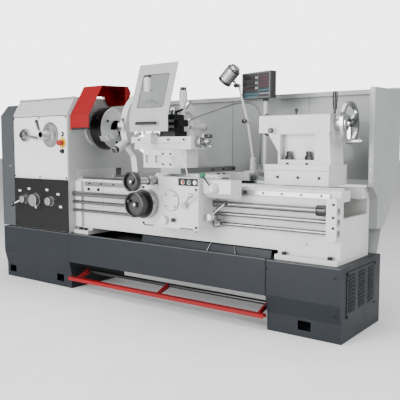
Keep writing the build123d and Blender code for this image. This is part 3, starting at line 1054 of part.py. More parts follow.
with BuildPart() as clamp_lever:
    rod_y(CLAMP_X, (BARREL_Y[1] + 4, BARREL_Y[1] + 17 + GAP), AXIS_Z - 20, 9)
    rod_y(CLAMP_X, (BARREL_Y[1] + 17 + GAP, BARREL_Y[1] + 46), AXIS_Z - 20, 20)
    strut((CLAMP_X, BARREL_Y[1] + 34, AXIS_Z - 20), (CLAMP_X + 2, BARREL_Y[1] + 40, AXIS_Z + 100), 7)
    strut((CLAMP_X + 2, BARREL_Y[1] + 40, AXIS_Z + 98), (CLAMP_X + 3, BARREL_Y[1] + 44, AXIS_Z + 190), 12)
save(clamp_lever, "clamp_lever")

# ================================================================ fasteners
SCREW_R = 6
SCREW_H = 5

with BuildPart() as frame_screws:
    for x in (BOX_X[0] + 14, (BOX_X[0] + BOX_X[1]) / 2, BOX_X[1] - 14):
        for z in (BOX_Z[0] + 24, BOX_PANEL_TOP - 16):
            rod_y(x, (BOX_Y[0] - SCREW_H, BOX_Y[0]), z, SCREW_R)
        for z in (BOX_PANEL_TOP + 16, SLANT_Z - 31):
            rod_y(x, (PANEL_Y[0] - SCREW_H, PANEL_Y[0]), z, SCREW_R)
    for y in (LOUVRE_Y[0] + 12, LOUVRE_Y[1] - 12):
        for z in (LOUVRE_Z[0] + 10, LOUVRE_Z[1] - 10):
            rod_x((X_RIGHT + LOUVRE_PLATE, X_RIGHT + LOUVRE_PLATE + SCREW_H), y, z, SCREW_R)
    for x in (HEAD_LEFT + 20, (HEAD_LEFT + HEAD_FACE) / 2, HEAD_FACE - 20):
        for y in (SLANT_Y + 8, 268):
            rod_z(x, y, (HEAD_TOP + 9, HEAD_TOP + 9 + SCREW_H), SCREW_R)
    for foot in (FOOT_LEFT, FOOT_RIGHT):
        for x in (foot[0] + 50, foot[1] - 50):
            rod_z(x, BED_FRONT - 21, (BASE_HEIGHT + 28, BASE_HEIGHT + 44), 13)
    for z in (LEADSCREW_Z + 38, LEADSCREW_Z - 30, FEED_ROD_Z - 28):
        rod_y(BRACKET_X[1] - 18, (BRACKET_Y[0] - SCREW_H, BRACKET_Y[0]), z, SCREW_R + 1)
save(frame_screws, "frame_screws")
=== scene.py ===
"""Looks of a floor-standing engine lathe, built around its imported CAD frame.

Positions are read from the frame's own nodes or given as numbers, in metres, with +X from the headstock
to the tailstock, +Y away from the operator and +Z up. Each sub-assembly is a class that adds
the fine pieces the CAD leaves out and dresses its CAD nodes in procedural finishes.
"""

import json
import logging
import math
from dataclasses import dataclass, field
from enum import Enum

import bmesh
import bpy
from mathutils import Matrix, Vector

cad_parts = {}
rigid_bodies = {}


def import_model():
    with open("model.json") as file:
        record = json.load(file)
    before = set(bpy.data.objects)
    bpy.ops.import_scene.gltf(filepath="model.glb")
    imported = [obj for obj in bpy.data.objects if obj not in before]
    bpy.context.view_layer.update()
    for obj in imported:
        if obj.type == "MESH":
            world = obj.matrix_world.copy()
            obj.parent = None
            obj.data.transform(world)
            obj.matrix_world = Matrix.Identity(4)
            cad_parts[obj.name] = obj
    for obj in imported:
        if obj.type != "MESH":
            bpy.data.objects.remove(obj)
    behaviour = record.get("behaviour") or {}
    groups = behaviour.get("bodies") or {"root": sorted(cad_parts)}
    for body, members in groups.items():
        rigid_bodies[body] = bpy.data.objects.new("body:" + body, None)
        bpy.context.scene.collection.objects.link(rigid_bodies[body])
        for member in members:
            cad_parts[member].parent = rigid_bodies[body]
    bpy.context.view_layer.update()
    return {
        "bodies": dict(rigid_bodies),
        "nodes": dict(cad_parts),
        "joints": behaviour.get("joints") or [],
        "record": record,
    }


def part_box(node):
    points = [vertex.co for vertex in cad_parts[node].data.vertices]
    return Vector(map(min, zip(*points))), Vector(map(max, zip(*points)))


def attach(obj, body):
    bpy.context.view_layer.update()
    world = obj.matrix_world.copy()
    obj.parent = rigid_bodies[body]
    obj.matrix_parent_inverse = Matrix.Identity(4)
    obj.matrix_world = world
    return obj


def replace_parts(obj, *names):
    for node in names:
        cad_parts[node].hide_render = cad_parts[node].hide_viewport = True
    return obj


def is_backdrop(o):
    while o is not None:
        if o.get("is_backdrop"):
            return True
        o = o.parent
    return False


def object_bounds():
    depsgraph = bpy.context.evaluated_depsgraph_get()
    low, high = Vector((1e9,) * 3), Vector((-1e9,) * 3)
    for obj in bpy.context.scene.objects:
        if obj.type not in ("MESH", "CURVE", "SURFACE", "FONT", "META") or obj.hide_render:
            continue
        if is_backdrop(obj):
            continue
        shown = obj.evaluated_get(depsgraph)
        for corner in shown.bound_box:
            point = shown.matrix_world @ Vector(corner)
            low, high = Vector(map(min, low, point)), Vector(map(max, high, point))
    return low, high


log = logging.getLogger("lathe")
Colour = tuple[float, float, float]


class Axis(Enum):
    """Directions a turned or extruded piece may run along."""

    X = Vector((1, 0, 0))
    Y = Vector((0, 1, 0))
    Z = Vector((0, 0, 1))
    BACK_X = Vector((-1, 0, 0))
    BACK_Y = Vector((0, -1, 0))


# ------------------------------------------------------------------ shader graph helpers
class Graph:
    """Thin wrapper that adds and joins nodes in one shader tree."""

    def __init__(self, tree: bpy.types.NodeTree) -> None:
        """Keeps the tree.

        Args:
            tree: the material's or group's node tree.
        """
        self.tree = tree

    def add(self, kind: str, **settings: object) -> bpy.types.Node:
        """Adds a node and sets its attributes or named inputs.

        Args:
            kind: the node's type name.
            settings: attributes of the node; names it lacks are taken as input sockets,
                with underscores for spaces.

        Returns:
            The new node.
        """
        node = self.tree.nodes.new(kind)
        for name, value in settings.items():
            if hasattr(node, name):
                setattr(node, name, value)
            else:
                node.inputs[name.replace("_", " ")].default_value = value
        return node

    def join(self, source: bpy.types.NodeSocket, target: bpy.types.NodeSocket) -> None:
        """Links one output socket to one input socket."""
        self.tree.links.new(source, target)

    def ramp(self, source: bpy.types.NodeSocket, low: float, high: float) -> bpy.types.NodeSocket:
        """Maps a value so that low gives 0 and high gives 1.

        Args:
            source: the value.
            low: input that becomes 0.
            high: input that becomes 1.

        Returns:
            The mapped socket, clamped.
        """
        node = self.add("ShaderNodeMapRange", clamp=True)
        node.inputs["From Min"].default_value = low
        node.inputs["From Max"].default_value = high
        self.join(source, node.inputs["Value"])
        return node.outputs["Result"]

    def maths(self, operation: str, first: object, second: object) -> bpy.types.NodeSocket:
        """Does one sum on two sockets or numbers.

        Args:
            operation: the Math node's operation.
            first: socket or number.
            second: socket or number.

        Returns:
            The result socket.
        """
        node = self.add("ShaderNodeMath", operation=operation)
        for slot, value in zip(node.inputs, (first, second)):
            if isinstance(value, bpy.types.NodeSocket):
                self.join(value, slot)
            else:
                slot.default_value = value
        return node.outputs[0]

    def mix(self, share: object, first: object, second: object) -> bpy.types.NodeSocket:
        """Mixes two colours.

        Args:
            share: socket or number, 0 for the first and 1 for the second.
            first: colour socket or value.
            second: colour socket or value.

        Returns:
            The mixed colour socket.
        """
        node = self.add("ShaderNodeMix", data_type="RGBA")
        for slot, value in zip((node.inputs[0], node.inputs[6], node.inputs[7]), (share, first, second)):
            if isinstance(value, bpy.types.NodeSocket):
                self.join(value, slot)
            else:
                slot.default_value = (*value, 1) if isinstance(value, tuple) else value
        return node.outputs[2]


@dataclass(frozen=True)
class GroupSocket:
    """Name, kind and default of one socket of a node group."""

    name: str
    kind: str = "NodeSocketFloat"
    default: float | tuple[float, float, float, float] = 0.0
    out: bool = False


def new_group(name: str, sockets: list[GroupSocket]) -> tuple[Graph, bpy.types.Node, bpy.types.Node]:
    """Starts a shader node group.

    Args:
        name: the group's name.
        sockets: its sockets, outputs marked.

    Returns:
        The graph, and the group's input and output nodes.
    """
    tree = bpy.data.node_groups.new(name, "ShaderNodeTree")
    for spec in sockets:
        socket = tree.interface.new_socket(
            spec.name, in_out="OUTPUT" if spec.out else "INPUT", socket_type=spec.kind
        )
        if not spec.out:
            socket.default_value = spec.default
    graph = Graph(tree)
    return graph, graph.add("NodeGroupInput"), graph.add("NodeGroupOutput")


class Effects:
    """Node groups that several finishes share, each built once."""

    def __init__(self) -> None:
        """Builds the groups."""
        self.mottle = self._mottle()
        self.wear = self._wear()
        self.brushing = self._brushing()

    @staticmethod
    def _mottle() -> bpy.types.NodeTree:
        """Slow colour drift, dull patches and a fine skin texture."""
        graph, given, made = new_group("paint_mottle", [
            GroupSocket("Colour", "NodeSocketColor", (0.5, 0.5, 0.5, 1)),
            GroupSocket("Drift", default=0.1),
            GroupSocket("Grain Scale", default=900.0),
            GroupSocket("Roughness", default=0.4),
            GroupSocket("Colour", "NodeSocketColor", out=True),
            GroupSocket("Roughness", out=True),
            GroupSocket("Height", out=True),
        ])
        place = graph.add("ShaderNodeTexCoord").outputs["Object"]
        slow = graph.add("ShaderNodeTexNoise", Scale=3.1, Detail=5.0, Roughness=0.62)
        fine = graph.add("ShaderNodeTexNoise", Detail=2.0, Roughness=0.5)
        specks = graph.add("ShaderNodeTexNoise", Scale=160.0, Detail=3.0, Roughness=0.7)
        for noise in (slow, fine, specks):
            graph.join(place, noise.inputs["Vector"])
        graph.join(given.outputs["Grain Scale"], fine.inputs["Scale"])
        drift = graph.maths("MULTIPLY", graph.ramp(slow.outputs["Fac"], 0.38, 0.68), given.outputs["Drift"])
        shade = graph.add("ShaderNodeHueSaturation", Saturation=0.9, Value=0.62)
        graph.join(given.outputs["Colour"], shade.inputs["Color"])
        soiled = graph.mix(drift, given.outputs["Colour"], shade.outputs["Color"])
        speck = graph.maths("MULTIPLY", graph.ramp(specks.outputs["Fac"], 0.66, 0.74), given.outputs["Drift"])
        graph.join(graph.mix(speck, soiled, shade.outputs["Color"]), made.inputs["Colour"])
        uneven = graph.maths("MULTIPLY", graph.ramp(slow.outputs["Fac"], 0.3, 0.7), 0.14)
        graph.join(graph.maths("ADD", uneven, given.outputs["Roughness"]), made.inputs["Roughness"])
        graph.join(fine.outputs["Fac"], made.inputs["Height"])
        return graph.tree

    @staticmethod
    def _wear() -> bpy.types.NodeTree:
        """Mask of edges where a finish has rubbed thin, broken up by noise."""
        graph, given, made = new_group("edge_wear", [
            GroupSocket("Reach", default=0.002),
            GroupSocket("Amount", default=0.5),
            GroupSocket("Mask", out=True),
        ])
        rounded = graph.add("ShaderNodeBevel", samples=4)
        graph.join(given.outputs["Reach"], rounded.inputs["Radius"])
        flat = graph.add("ShaderNodeNewGeometry")
        dot = graph.add("ShaderNodeVectorMath", operation="DOT_PRODUCT")
        graph.join(rounded.outputs["Normal"], dot.inputs[0])
        graph.join(flat.outputs["Normal"], dot.inputs[1])
        edge = graph.ramp(dot.outputs["Value"], 0.985, 0.86)
        place = graph.add("ShaderNodeTexCoord").outputs["Object"]
        noise = graph.add("ShaderNodeTexNoise", Scale=42.0, Detail=6.0, Roughness=0.7)
        graph.join(place, noise.inputs["Vector"])
        broken = graph.maths("MULTIPLY", edge, graph.ramp(noise.outputs["Fac"], 0.46, 0.62))
        graph.join(graph.maths("MULTIPLY", broken, given.outputs["Amount"]), made.inputs["Mask"])
        return graph.tree

    @staticmethod
    def _brushing() -> bpy.types.NodeTree:
        """Streaks of a cut or ground metal surface, stretched along one axis."""
        graph, given, made = new_group("tool_marks", [
            GroupSocket("Stretch", "NodeSocketVector", (1.0, 1.0, 1.0)),
            GroupSocket("Colour", "NodeSocketColor", (0.5, 0.5, 0.5, 1)),
            GroupSocket("Roughness", default=0.3),
            GroupSocket("Colour", "NodeSocketColor", out=True),
            GroupSocket("Roughness", out=True),
            GroupSocket("Height", out=True),
        ])
        place = graph.add("ShaderNodeTexCoord").outputs["Object"]
        scaled = graph.add("ShaderNodeVectorMath", operation="MULTIPLY")
        graph.join(place, scaled.inputs[0])
        graph.join(given.outputs["Stretch"], scaled.inputs[1])
        streak = graph.add("ShaderNodeTexNoise", Scale=1.0, Detail=4.0, Roughness=0.65)
        graph.join(scaled.outputs[0], streak.inputs["Vector"])
        stain = graph.add("ShaderNodeTexNoise", Scale=11.0, Detail=5.0, Roughness=0.6)
        graph.join(place, stain.inputs["Vector"])
        dark = graph.add("ShaderNodeHueSaturation", Value=0.72)
        graph.join(given.outputs["Colour"], dark.inputs["Color"])
        lit = graph.mix(graph.ramp(streak.outputs["Fac"], 0.35, 0.7), given.outputs["Colour"], dark.outputs["Color"])
        oily = graph.maths("MULTIPLY", graph.ramp(stain.outputs["Fac"], 0.5, 0.75), 0.4)
        graph.join(graph.mix(oily, lit, dark.outputs["Color"]), made.inputs["Colour"])
        uneven = graph.maths("MULTIPLY", graph.ramp(streak.outputs["Fac"], 0.3, 0.7), 0.16)
        graph.join(graph.maths("ADD", uneven, given.outputs["Roughness"]), made.inputs["Roughness"])
        graph.join(streak.outputs["Fac"], made.inputs["Height"])
        return graph.tree


EFFECTS: dict[str, Effects] = {}


def effects() -> Effects:
    """The shared node groups, made on first use."""
    if "all" not in EFFECTS:
        EFFECTS["all"] = Effects()
    return EFFECTS["all"]


# ------------------------------------------------------------------ finishes
@dataclass(frozen=True)
class Finish:
    """A surface with its own material, made once and reused.

    Attributes:
        name: the material's name.
        colour: base colour, linear.
        roughness: roughness where the surface is cleanest.
    """

    name: str
    colour: Colour
    roughness: float = 0.4

    def start(self) -> tuple[bpy.types.Material, Graph, bpy.types.Node]:
        """Makes an empty material with a Principled BSDF.

        Returns:
            The material, its graph and the shader node.
        """
        material = bpy.data.materials.new(f"coat_{self.name}")
        material.use_nodes = True
        graph = Graph(material.node_tree)
        return material, graph, material.node_tree.nodes["Principled BSDF"]

    def bump(self, graph: Graph, shader: bpy.types.Node, height: bpy.types.NodeSocket,
             strength: float, distance: float) -> None:
        """Feeds a height into the shader's normal.

        Args:
            graph: the material's graph.
            shader: its Principled BSDF.
            height: height socket.
            strength: bump strength.
            distance: bump depth in metres.
        """
        node = graph.add("ShaderNodeBump", Strength=strength, Distance=distance)
        graph.join(height, node.inputs["Height"])
        graph.join(node.outputs["Normal"], shader.inputs["Normal"])

    def material(self) -> bpy.types.Material:
        """The finish's material, built if it isn't there yet."""
        return bpy.data.materials.get(f"coat_{self.name}") or self.build()

    def build(self) -> bpy.types.Material:
        """Builds the material. Each kind of finish has its own."""
        raise NotImplementedError


@dataclass(frozen=True)
class Enamel(Finish):
    """Sprayed paint with a little orange peel, drift in tone and rubbed edges."""

    drift: float = 0.35
    grain: float = 700.0
    texture: float = 0.12
    rubbed: Colour = (0.42, 0.42, 0.4)
    wear: float = 0.55
    coat: float = 0.25
    gloss: float = 0.5

    def build(self) -> bpy.types.Material:
        """Builds the paint."""
        material, graph, shader = self.start()
        group = graph.add("ShaderNodeGroup", node_tree=effects().mottle)
        group.inputs["Colour"].default_value = (*self.colour, 1)
        group.inputs["Drift"].default_value = self.drift
        group.inputs["Grain Scale"].default_value = self.grain
        group.inputs["Roughness"].default_value = self.roughness
        wear = graph.add("ShaderNodeGroup", node_tree=effects().wear)
        wear.inputs["Amount"].default_value = self.wear
        worn = graph.mix(wear.outputs["Mask"], group.outputs["Colour"], self.rubbed)
        graph.join(worn, shader.inputs["Base Color"])
        graph.join(group.outputs["Roughness"], shader.inputs["Roughness"])
        shader.inputs["Coat Weight"].default_value = self.coat
        shader.inputs["Coat Roughness"].default_value = 0.12
        shader.inputs["Specular IOR Level"].default_value = self.gloss
        self.bump(graph, shader, group.outputs["Height"], self.texture, 0.0006)
        return material


@dataclass(frozen=True)
class CutMetal(Finish):
    """Turned, ground or cast metal with tool marks along one direction."""

    stretch: tuple[float, float, float] = (900.0, 40.0, 40.0)
    texture: float = 0.15
    metallic: float = 1.0

    def build(self) -> bpy.types.Material:
        """Builds the metal."""
        material, graph, shader = self.start()
        group = graph.add("ShaderNodeGroup", node_tree=effects().brushing)
        group.inputs["Stretch"].default_value = self.stretch
        group.inputs["Colour"].default_value = (*self.colour, 1)
        group.inputs["Roughness"].default_value = self.roughness
        graph.join(group.outputs["Colour"], shader.inputs["Base Color"])
        graph.join(group.outputs["Roughness"], shader.inputs["Roughness"])
        shader.inputs["Metallic"].default_value = self.metallic
        self.bump(graph, shader, group.outputs["Height"], self.texture, 0.0003)
        return material


@dataclass(frozen=True)
class Moulded(Finish):
    """Moulded plastic, phenolic or rubber with a fine skin."""

    grain: float = 1400.0
    texture: float = 0.08
    coat: float = 0.0

    def build(self) -> bpy.types.Material:
        """Builds the plastic."""
        material, graph, shader = self.start()
        group = graph.add("ShaderNodeGroup", node_tree=effects().mottle)
        group.inputs["Colour"].default_value = (*self.colour, 1)
        group.inputs["Drift"].default_value = 0.2
        group.inputs["Grain Scale"].default_value = self.grain
        group.inputs["Roughness"].default_value = self.roughness
        graph.join(group.outputs["Colour"], shader.inputs["Base Color"])
        graph.join(group.outputs["Roughness"], shader.inputs["Roughness"])
        shader.inputs["Coat Weight"].default_value = self.coat
        self.bump(graph, shader, group.outputs["Height"], self.texture, 0.0002)
        return material


@dataclass(frozen=True)
class Ruled(Finish):
    """A face plate printed with a blank table: rows and columns of thin lines."""

    ink: Colour = (0.16, 0.17, 0.18)
    row: float = 0.012
    cell: float = 0.03
    line: float = 0.0011

    def build(self) -> bpy.types.Material:
        """Builds the printed plate."""
        material, graph, shader = self.start()
        place = graph.add("ShaderNodeTexCoord").outputs["Object"]
        split = graph.add("ShaderNodeSeparateXYZ")
        graph.join(place, split.inputs[0])
        masks = []
        for socket, pitch in ((split.outputs["X"], self.cell), (split.outputs["Z"], self.row)):
            phase = graph.maths("FRACT", graph.maths("DIVIDE", socket, pitch), 0.0)
            masks.append(graph.maths("LESS_THAN", phase, self.line / pitch))
        lines = graph.maths("MAXIMUM", masks[0], masks[1])
        group = graph.add("ShaderNodeGroup", node_tree=effects().mottle)
        group.inputs["Colour"].default_value = (*self.colour, 1)
        group.inputs["Drift"].default_value = 0.12
        group.inputs["Roughness"].default_value = self.roughness
        graph.join(graph.mix(lines, group.outputs["Colour"], self.ink), shader.inputs["Base Color"])
        graph.join(group.outputs["Roughness"], shader.inputs["Roughness"])
        self.bump(graph, shader, group.outputs["Height"], 0.05, 0.0002)
        return material


@dataclass(frozen=True)
class Pane(Finish):
    """Clear sheet that lets the parts behind it show."""

    def build(self) -> bpy.types.Material:
        """Builds the clear sheet."""
        material, graph, shader = self.start()
        smears = graph.add("ShaderNodeTexNoise", Scale=9.0, Detail=6.0, Roughness=0.7)
        graph.join(graph.add("ShaderNodeTexCoord").outputs["Object"], smears.inputs["Vector"])
        graph.join(graph.maths("MULTIPLY", graph.ramp(smears.outputs["Fac"], 0.4, 0.8), 0.25),
            shader.inputs["Roughness"])
        shader.inputs["Base Color"].default_value = (*self.colour, 1)
        shader.inputs["Transmission Weight"].default_value = 1.0
        shader.inputs["IOR"].default_value = 1.2
        return material


@dataclass(frozen=True)
class Lit(Finish):
    """Display window with a faint glow in rows of blank digits."""

    glow: Colour = (0.20, 0.12, 0.12)

    def build(self) -> bpy.types.Material:
        """Builds the display."""
        material, graph, shader = self.start()
        place = graph.add("ShaderNodeTexCoord").outputs["Object"]
        bricks = graph.add("ShaderNodeTexBrick", Scale=1.0, offset=0.0)
        bricks.inputs["Brick Width"].default_value = 0.011
        bricks.inputs["Row Height"].default_value = 0.02
        bricks.inputs["Mortar Size"].default_value = 0.0035
        turned = graph.add("ShaderNodeMapping")
        turned.inputs["Rotation"].default_value = (math.radians(90), 0, 0)
        graph.join(place, turned.inputs["Vector"])
        graph.join(turned.outputs["Vector"], bricks.inputs["Vector"])
        shader.inputs["Roughness"].default_value = self.roughness
        tint = graph.mix(bricks.outputs["Fac"], tuple(c * 0.35 for c in self.glow), self.colour)
        graph.join(tint, shader.inputs["Base Color"])
        shader.inputs["Coat Weight"].default_value = 0.6
        return material


class Coat:
    """The lathe's finishes."""

    CASTING = Enamel("casting_enamel", (0.52, 0.53, 0.515), 0.36, drift=0.3, texture=0.2, grain=420.0)
    SHEET = Enamel("sheet_grey", (0.40, 0.41, 0.405), 0.42, drift=0.25, grain=1100.0)
    SPLASH = Enamel("splash_sheet", (0.27, 0.28, 0.278), 0.45, drift=0.3, grain=1100.0)
    COVER = Enamel("cover_grey", (0.044, 0.049, 0.054), 0.42, drift=0.3, grain=1000.0,
        rubbed=(0.060, 0.066, 0.072), coat=0.0, gloss=0.35)
    BASE = Enamel("base_blue_grey", (0.0110, 0.0138, 0.0175), 0.40, drift=0.3, texture=0.22, grain=520.0,
                  rubbed=(0.030, 0.034, 0.040), wear=0.6, coat=0.0, gloss=0.22)
    # painted highlight: a pale paint for the strips that stand in for light catching the stand's top front edges
    EDGE_HIGHLIGHT = Enamel("base_edge_highlight", (0.070, 0.074, 0.080), 0.36, drift=0.2, rubbed=(0.09, 0.095, 0.10), coat=0.1)
    PLATE_DARK = Enamel("gearbox_plate", (0.0045, 0.0046, 0.005), 0.42, drift=0.3, rubbed=(0.012, 0.012, 0.013),
        coat=0.0, gloss=0.25)
    PLATE_WHITE = Enamel("panel_white", (0.62, 0.63, 0.625), 0.33, drift=0.15, texture=0.05, wear=0.2)
    RED = Enamel("guard_red", (0.21, 0.0008, 0.003), 0.34, drift=0.25, rubbed=(0.27, 0.008, 0.012), wear=0.3,
        coat=0.04, gloss=0.2)
    TREAD = Enamel("tread_red", (0.24, 0.0010, 0.004), 0.4, drift=0.5, rubbed=(0.32, 0.02, 0.025), wear=0.9,
        coat=0.0, gloss=0.25)
    SHIELD = Enamel("shield_grey", (0.33, 0.34, 0.335), 0.4, drift=0.25)
    STEEL_X = CutMetal("steel_ground_x", (0.42, 0.43, 0.44), 0.2, (30.0, 700.0, 700.0))
    STEEL = CutMetal("steel_turned", (0.40, 0.41, 0.42), 0.24, (900.0, 120.0, 120.0))
    FACE = CutMetal("steel_bright", (0.74, 0.745, 0.75), 0.26, (900.0, 120.0, 120.0))
    ROD = CutMetal("rod_oiled", (0.24, 0.245, 0.25), 0.17, (30.0, 500.0, 500.0))
    IRON = CutMetal("iron_scraped", (0.30, 0.305, 0.31), 0.34, (240.0, 240.0, 90.0), texture=0.3)
    BLACKED = CutMetal("steel_blacked", (0.028, 0.028, 0.03), 0.27, (500.0, 90.0, 90.0), metallic=0.9)
    CHROME = CutMetal("chrome", (0.55, 0.555, 0.56), 0.09, (300.0, 300.0, 300.0), texture=0.02)
    ALUMINIUM = CutMetal("aluminium_turned", (0.50, 0.505, 0.51), 0.26, (90.0, 900.0, 90.0))
    PHENOLIC = Moulded("phenolic_black", (0.006, 0.006, 0.0065), 0.2, coat=0.15)
    WHEEL = Moulded("wheel_black", (0.014, 0.014, 0.0145), 0.36, grain=700.0)
    RUBBER = Moulded("wiper_rubber", (0.02, 0.02, 0.021), 0.62, grain=500.0, texture=0.3)
    CABLE = Moulded("cable_sheath", (0.58, 0.58, 0.56), 0.5)
    HOSE = CutMetal("hose_steel", (0.22, 0.225, 0.23), 0.35, (300.0, 300.0, 900.0), texture=0.5)
    HOUSING = Moulded("readout_housing", (0.02, 0.021, 0.023), 0.5, grain=900.0, texture=0.35)
    BEZEL = Moulded("readout_bezel", (0.10, 0.105, 0.11), 0.42, grain=900.0, texture=0.3)
    SCREEN = Lit("readout_window", (0.012, 0.012, 0.014), 0.18)
    KEYPAD = Moulded("keypad_maroon", (0.075, 0.022, 0.032), 0.45)
    KEY_CYAN = Moulded("key_cyan", (0.04, 0.15, 0.19), 0.4)
    KEY_PALE = Moulded("key_pale", (0.30, 0.31, 0.34), 0.4)
    STOP_RED = Moulded("stop_red", (0.30, 0.003, 0.004), 0.24, coat=0.15)
    GREEN = Moulded("button_green", (0.002, 0.10, 0.045), 0.25, coat=0.15)
    YELLOW = Moulded("stop_yellow", (0.55, 0.34, 0.01), 0.35)
    WHITE_CAP = Moulded("cap_white", (0.74, 0.74, 0.72), 0.3, coat=0.3)
    LENS = Moulded("lamp_lens", (0.86, 0.87, 0.84), 0.2, coat=0.6)
    PRINT = Ruled("printed_table", (0.70, 0.715, 0.71), 0.35)
    PRINT_DARK = Ruled("printed_label", (0.60, 0.61, 0.60), 0.35, row=0.006, cell=0.016, line=0.0008)
    CLEAR = Pane("clear_sheet", (0.93, 0.96, 0.95), 0.03)
    FLOOR = Moulded("studio_floor", (0.86, 0.86, 0.86), 0.7, grain=60.0, texture=0.02)


# ------------------------------------------------------------------ mesh building
@dataclass(frozen=True)
class Place:
    """Corners of a CAD node at rest."""

    lo: Vector
    hi: Vector

    @classmethod
    def of(cls, node: str) -> "Place":
        """The corners of the named CAD node."""
        return cls(*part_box(node))

    @property
    def mid(self) -> Vector:
        """Centre of the box."""
        return (self.lo + self.hi) / 2

    @property
    def size(self) -> Vector:
        """Edge lengths of the box."""
        return self.hi - self.lo

    def at(self, x: float, y: float, z: float) -> Vector:
        """A point by its share of each edge, 0 for the low side and 1 for the high side."""
        return Vector(a + (b - a) * t for a, b, t in zip(self.lo, self.hi, (x, y, z)))


@dataclass
class Mould:
    """Gathers simple solids into one mesh, then makes a piece of them."""

    bm: bmesh.types.BMesh = field(default_factory=bmesh.new)

    def block(self, centre: Vector, size: Vector, turn: Matrix | None = None) -> "Mould":
        """Adds a box.

        Args:
            centre: its middle.
            size: its edge lengths.
            turn: rotation about its middle.

        Returns:
            The mould.
        """
        place = Matrix.Translation(centre) @ (turn.to_4x4() if turn else Matrix.Identity(4))
        bmesh.ops.create_cube(self.bm, size=1.0, matrix=place @ Matrix.Diagonal((*size, 1)))
        return self

    def slab(self, outline: list[Vector], depth: Vector) -> "Mould":
        """Adds a flat plate with any outline.

        Args:
            outline: its corners, in order.
            depth: from this face of the plate to the other.

        Returns:
            The mould.
        """
        near = [self.bm.verts.new(point) for point in outline]
        far = [self.bm.verts.new(point + depth) for point in outline]
        sides = [self.bm.faces.new((near[k - 1], near[k], far[k], far[k - 1])) for k in range(len(outline))]
        ends = [self.bm.faces.new(near), self.bm.faces.new(far[::-1])]
        bmesh.ops.recalc_face_normals(self.bm, faces=sides + ends)
        return self

    def turned(self, start: Vector, direction: Vector, profile: list[tuple[float, float]],
               around: int = 40, flutes: float = 0.0) -> "Mould":
        """Adds a turned solid, capped at both ends.

        Args:
            start: point on the axis where the profile's distance is 0.
            direction: the axis.
            profile: (distance along the axis, radius) pairs, from one end to the other.
            around: corners round the axis.
            flutes: depth of knurling, cut at every second pair of corners.

        Returns:
            The mould.
        """
        ray = direction.normalized()
        side = ray.orthogonal().normalized()
        other = ray.cross(side)
        rings = []
        for along, radius in profile:
            ring = []
            for i in range(around):
                cut = flutes if flutes and i % 4 > 1 else 0.0
                turn = math.tau * i / around
                arm = (side * math.cos(turn) + other * math.sin(turn)) * max(radius - cut, 1e-5)
                ring.append(self.bm.verts.new(start + ray * along + arm))
            rings.append(ring)
        for low, high in zip(rings, rings[1:]):
            for i in range(around):
                j = (i + 1) % around
                self.bm.faces.new((low[i], low[j], high[j], high[i]))
        self.bm.faces.new(list(reversed(rings[0])))
        self.bm.faces.new(rings[-1])
        return self

    def hoop(self, centre: Vector, direction: Vector, radius: float, profile: list[tuple[float, float]],
             around: int = 64) -> "Mould":
        """Adds a ring with a closed cross-section.

        Args:
            centre: the ring's centre.
            direction: its axis.
            radius: distance from the axis to the cross-section's origin.
            profile: (along the axis, outwards) points of the closed cross-section.
            around: corners round the axis.

        Returns:
            The mould.
        """
        ray = direction.normalized()
        side = ray.orthogonal().normalized()
        other = ray.cross(side)
        rings = []
        for i in range(around):
            turn = math.tau * i / around
            out = side * math.cos(turn) + other * math.sin(turn)
            rings.append([self.bm.verts.new(centre + ray * a + out * (radius + r)) for a, r in profile])
        count = len(profile)
        for i in range(around):
            low, high = rings[i], rings[(i + 1) % around]
            for k in range(count):
                m = (k + 1) % count
                self.bm.faces.new((low[k], low[m], high[m], high[k]))
        return self

    def ball(self, centre: Vector, radius: float) -> "Mould":
        """Adds a ball knob."""
        bmesh.ops.create_uvsphere(self.bm, u_segments=28, v_segments=16, radius=radius,
                                  matrix=Matrix.Translation(centre))
        return self

    def rod(self, start: Vector, end: Vector, radius: float, soft: float = 0.0012) -> "Mould":
        """Adds a round rod with eased ends.

        Args:
            start: one end.
            end: the other end.
            radius: its radius.
            soft: how far the ends are eased.

        Returns:
            The mould.
        """
        run = (end - start).length
        ease = min(soft, radius / 2, run / 4)
        return self.turned(start, end - start, [
            (0, radius - ease), (ease, radius), (run - ease, radius), (run, radius - ease)])

    def bolt(self, head: Vector, direction: Vector, radius: float, socket: bool = True) -> "Mould":
        """Adds a screw head standing on a surface.

        Args:
            head: point on the surface.
            direction: out of the surface.
            radius: the head's radius.
            socket: a socket head if true, a hexagon head if not.

        Returns:
            The mould.
        """
        if not socket:
            return self.turned(head, direction, [(0, radius), (radius * 0.7, radius),
                (radius * 0.85, radius * 0.86)], 6)
        return self.turned(head, direction, [
            (0, radius), (radius * 0.8, radius), (radius * 0.95, radius * 0.85), (radius * 0.95, radius * 0.5),
            (radius * 0.4, radius * 0.46)], 24)

    def ticks(self, centre: Vector, direction: Vector, radius: float, count: int, width: float = 0.0007) -> "Mould":
        """Adds a ring of graduation marks on a dial's rim.

        Args:
            centre: middle of the marks.
            direction: the dial's axis.
            radius: the rim's radius.
            count: number of marks.
            width: width of each mark.

        Returns:
            The mould.
        """
        ray = direction.normalized()
        side = ray.orthogonal().normalized()
        for i in range(count):
            turn = Matrix.Rotation(math.tau * i / count, 3, ray)
            out = turn @ side
            length = 0.010 if i % 5 == 0 else 0.006
            frame = Matrix((ray, out, ray.cross(out))).transposed()
            self.block(centre + out * radius, Vector((length, 0.0006, width)), frame)
        return self

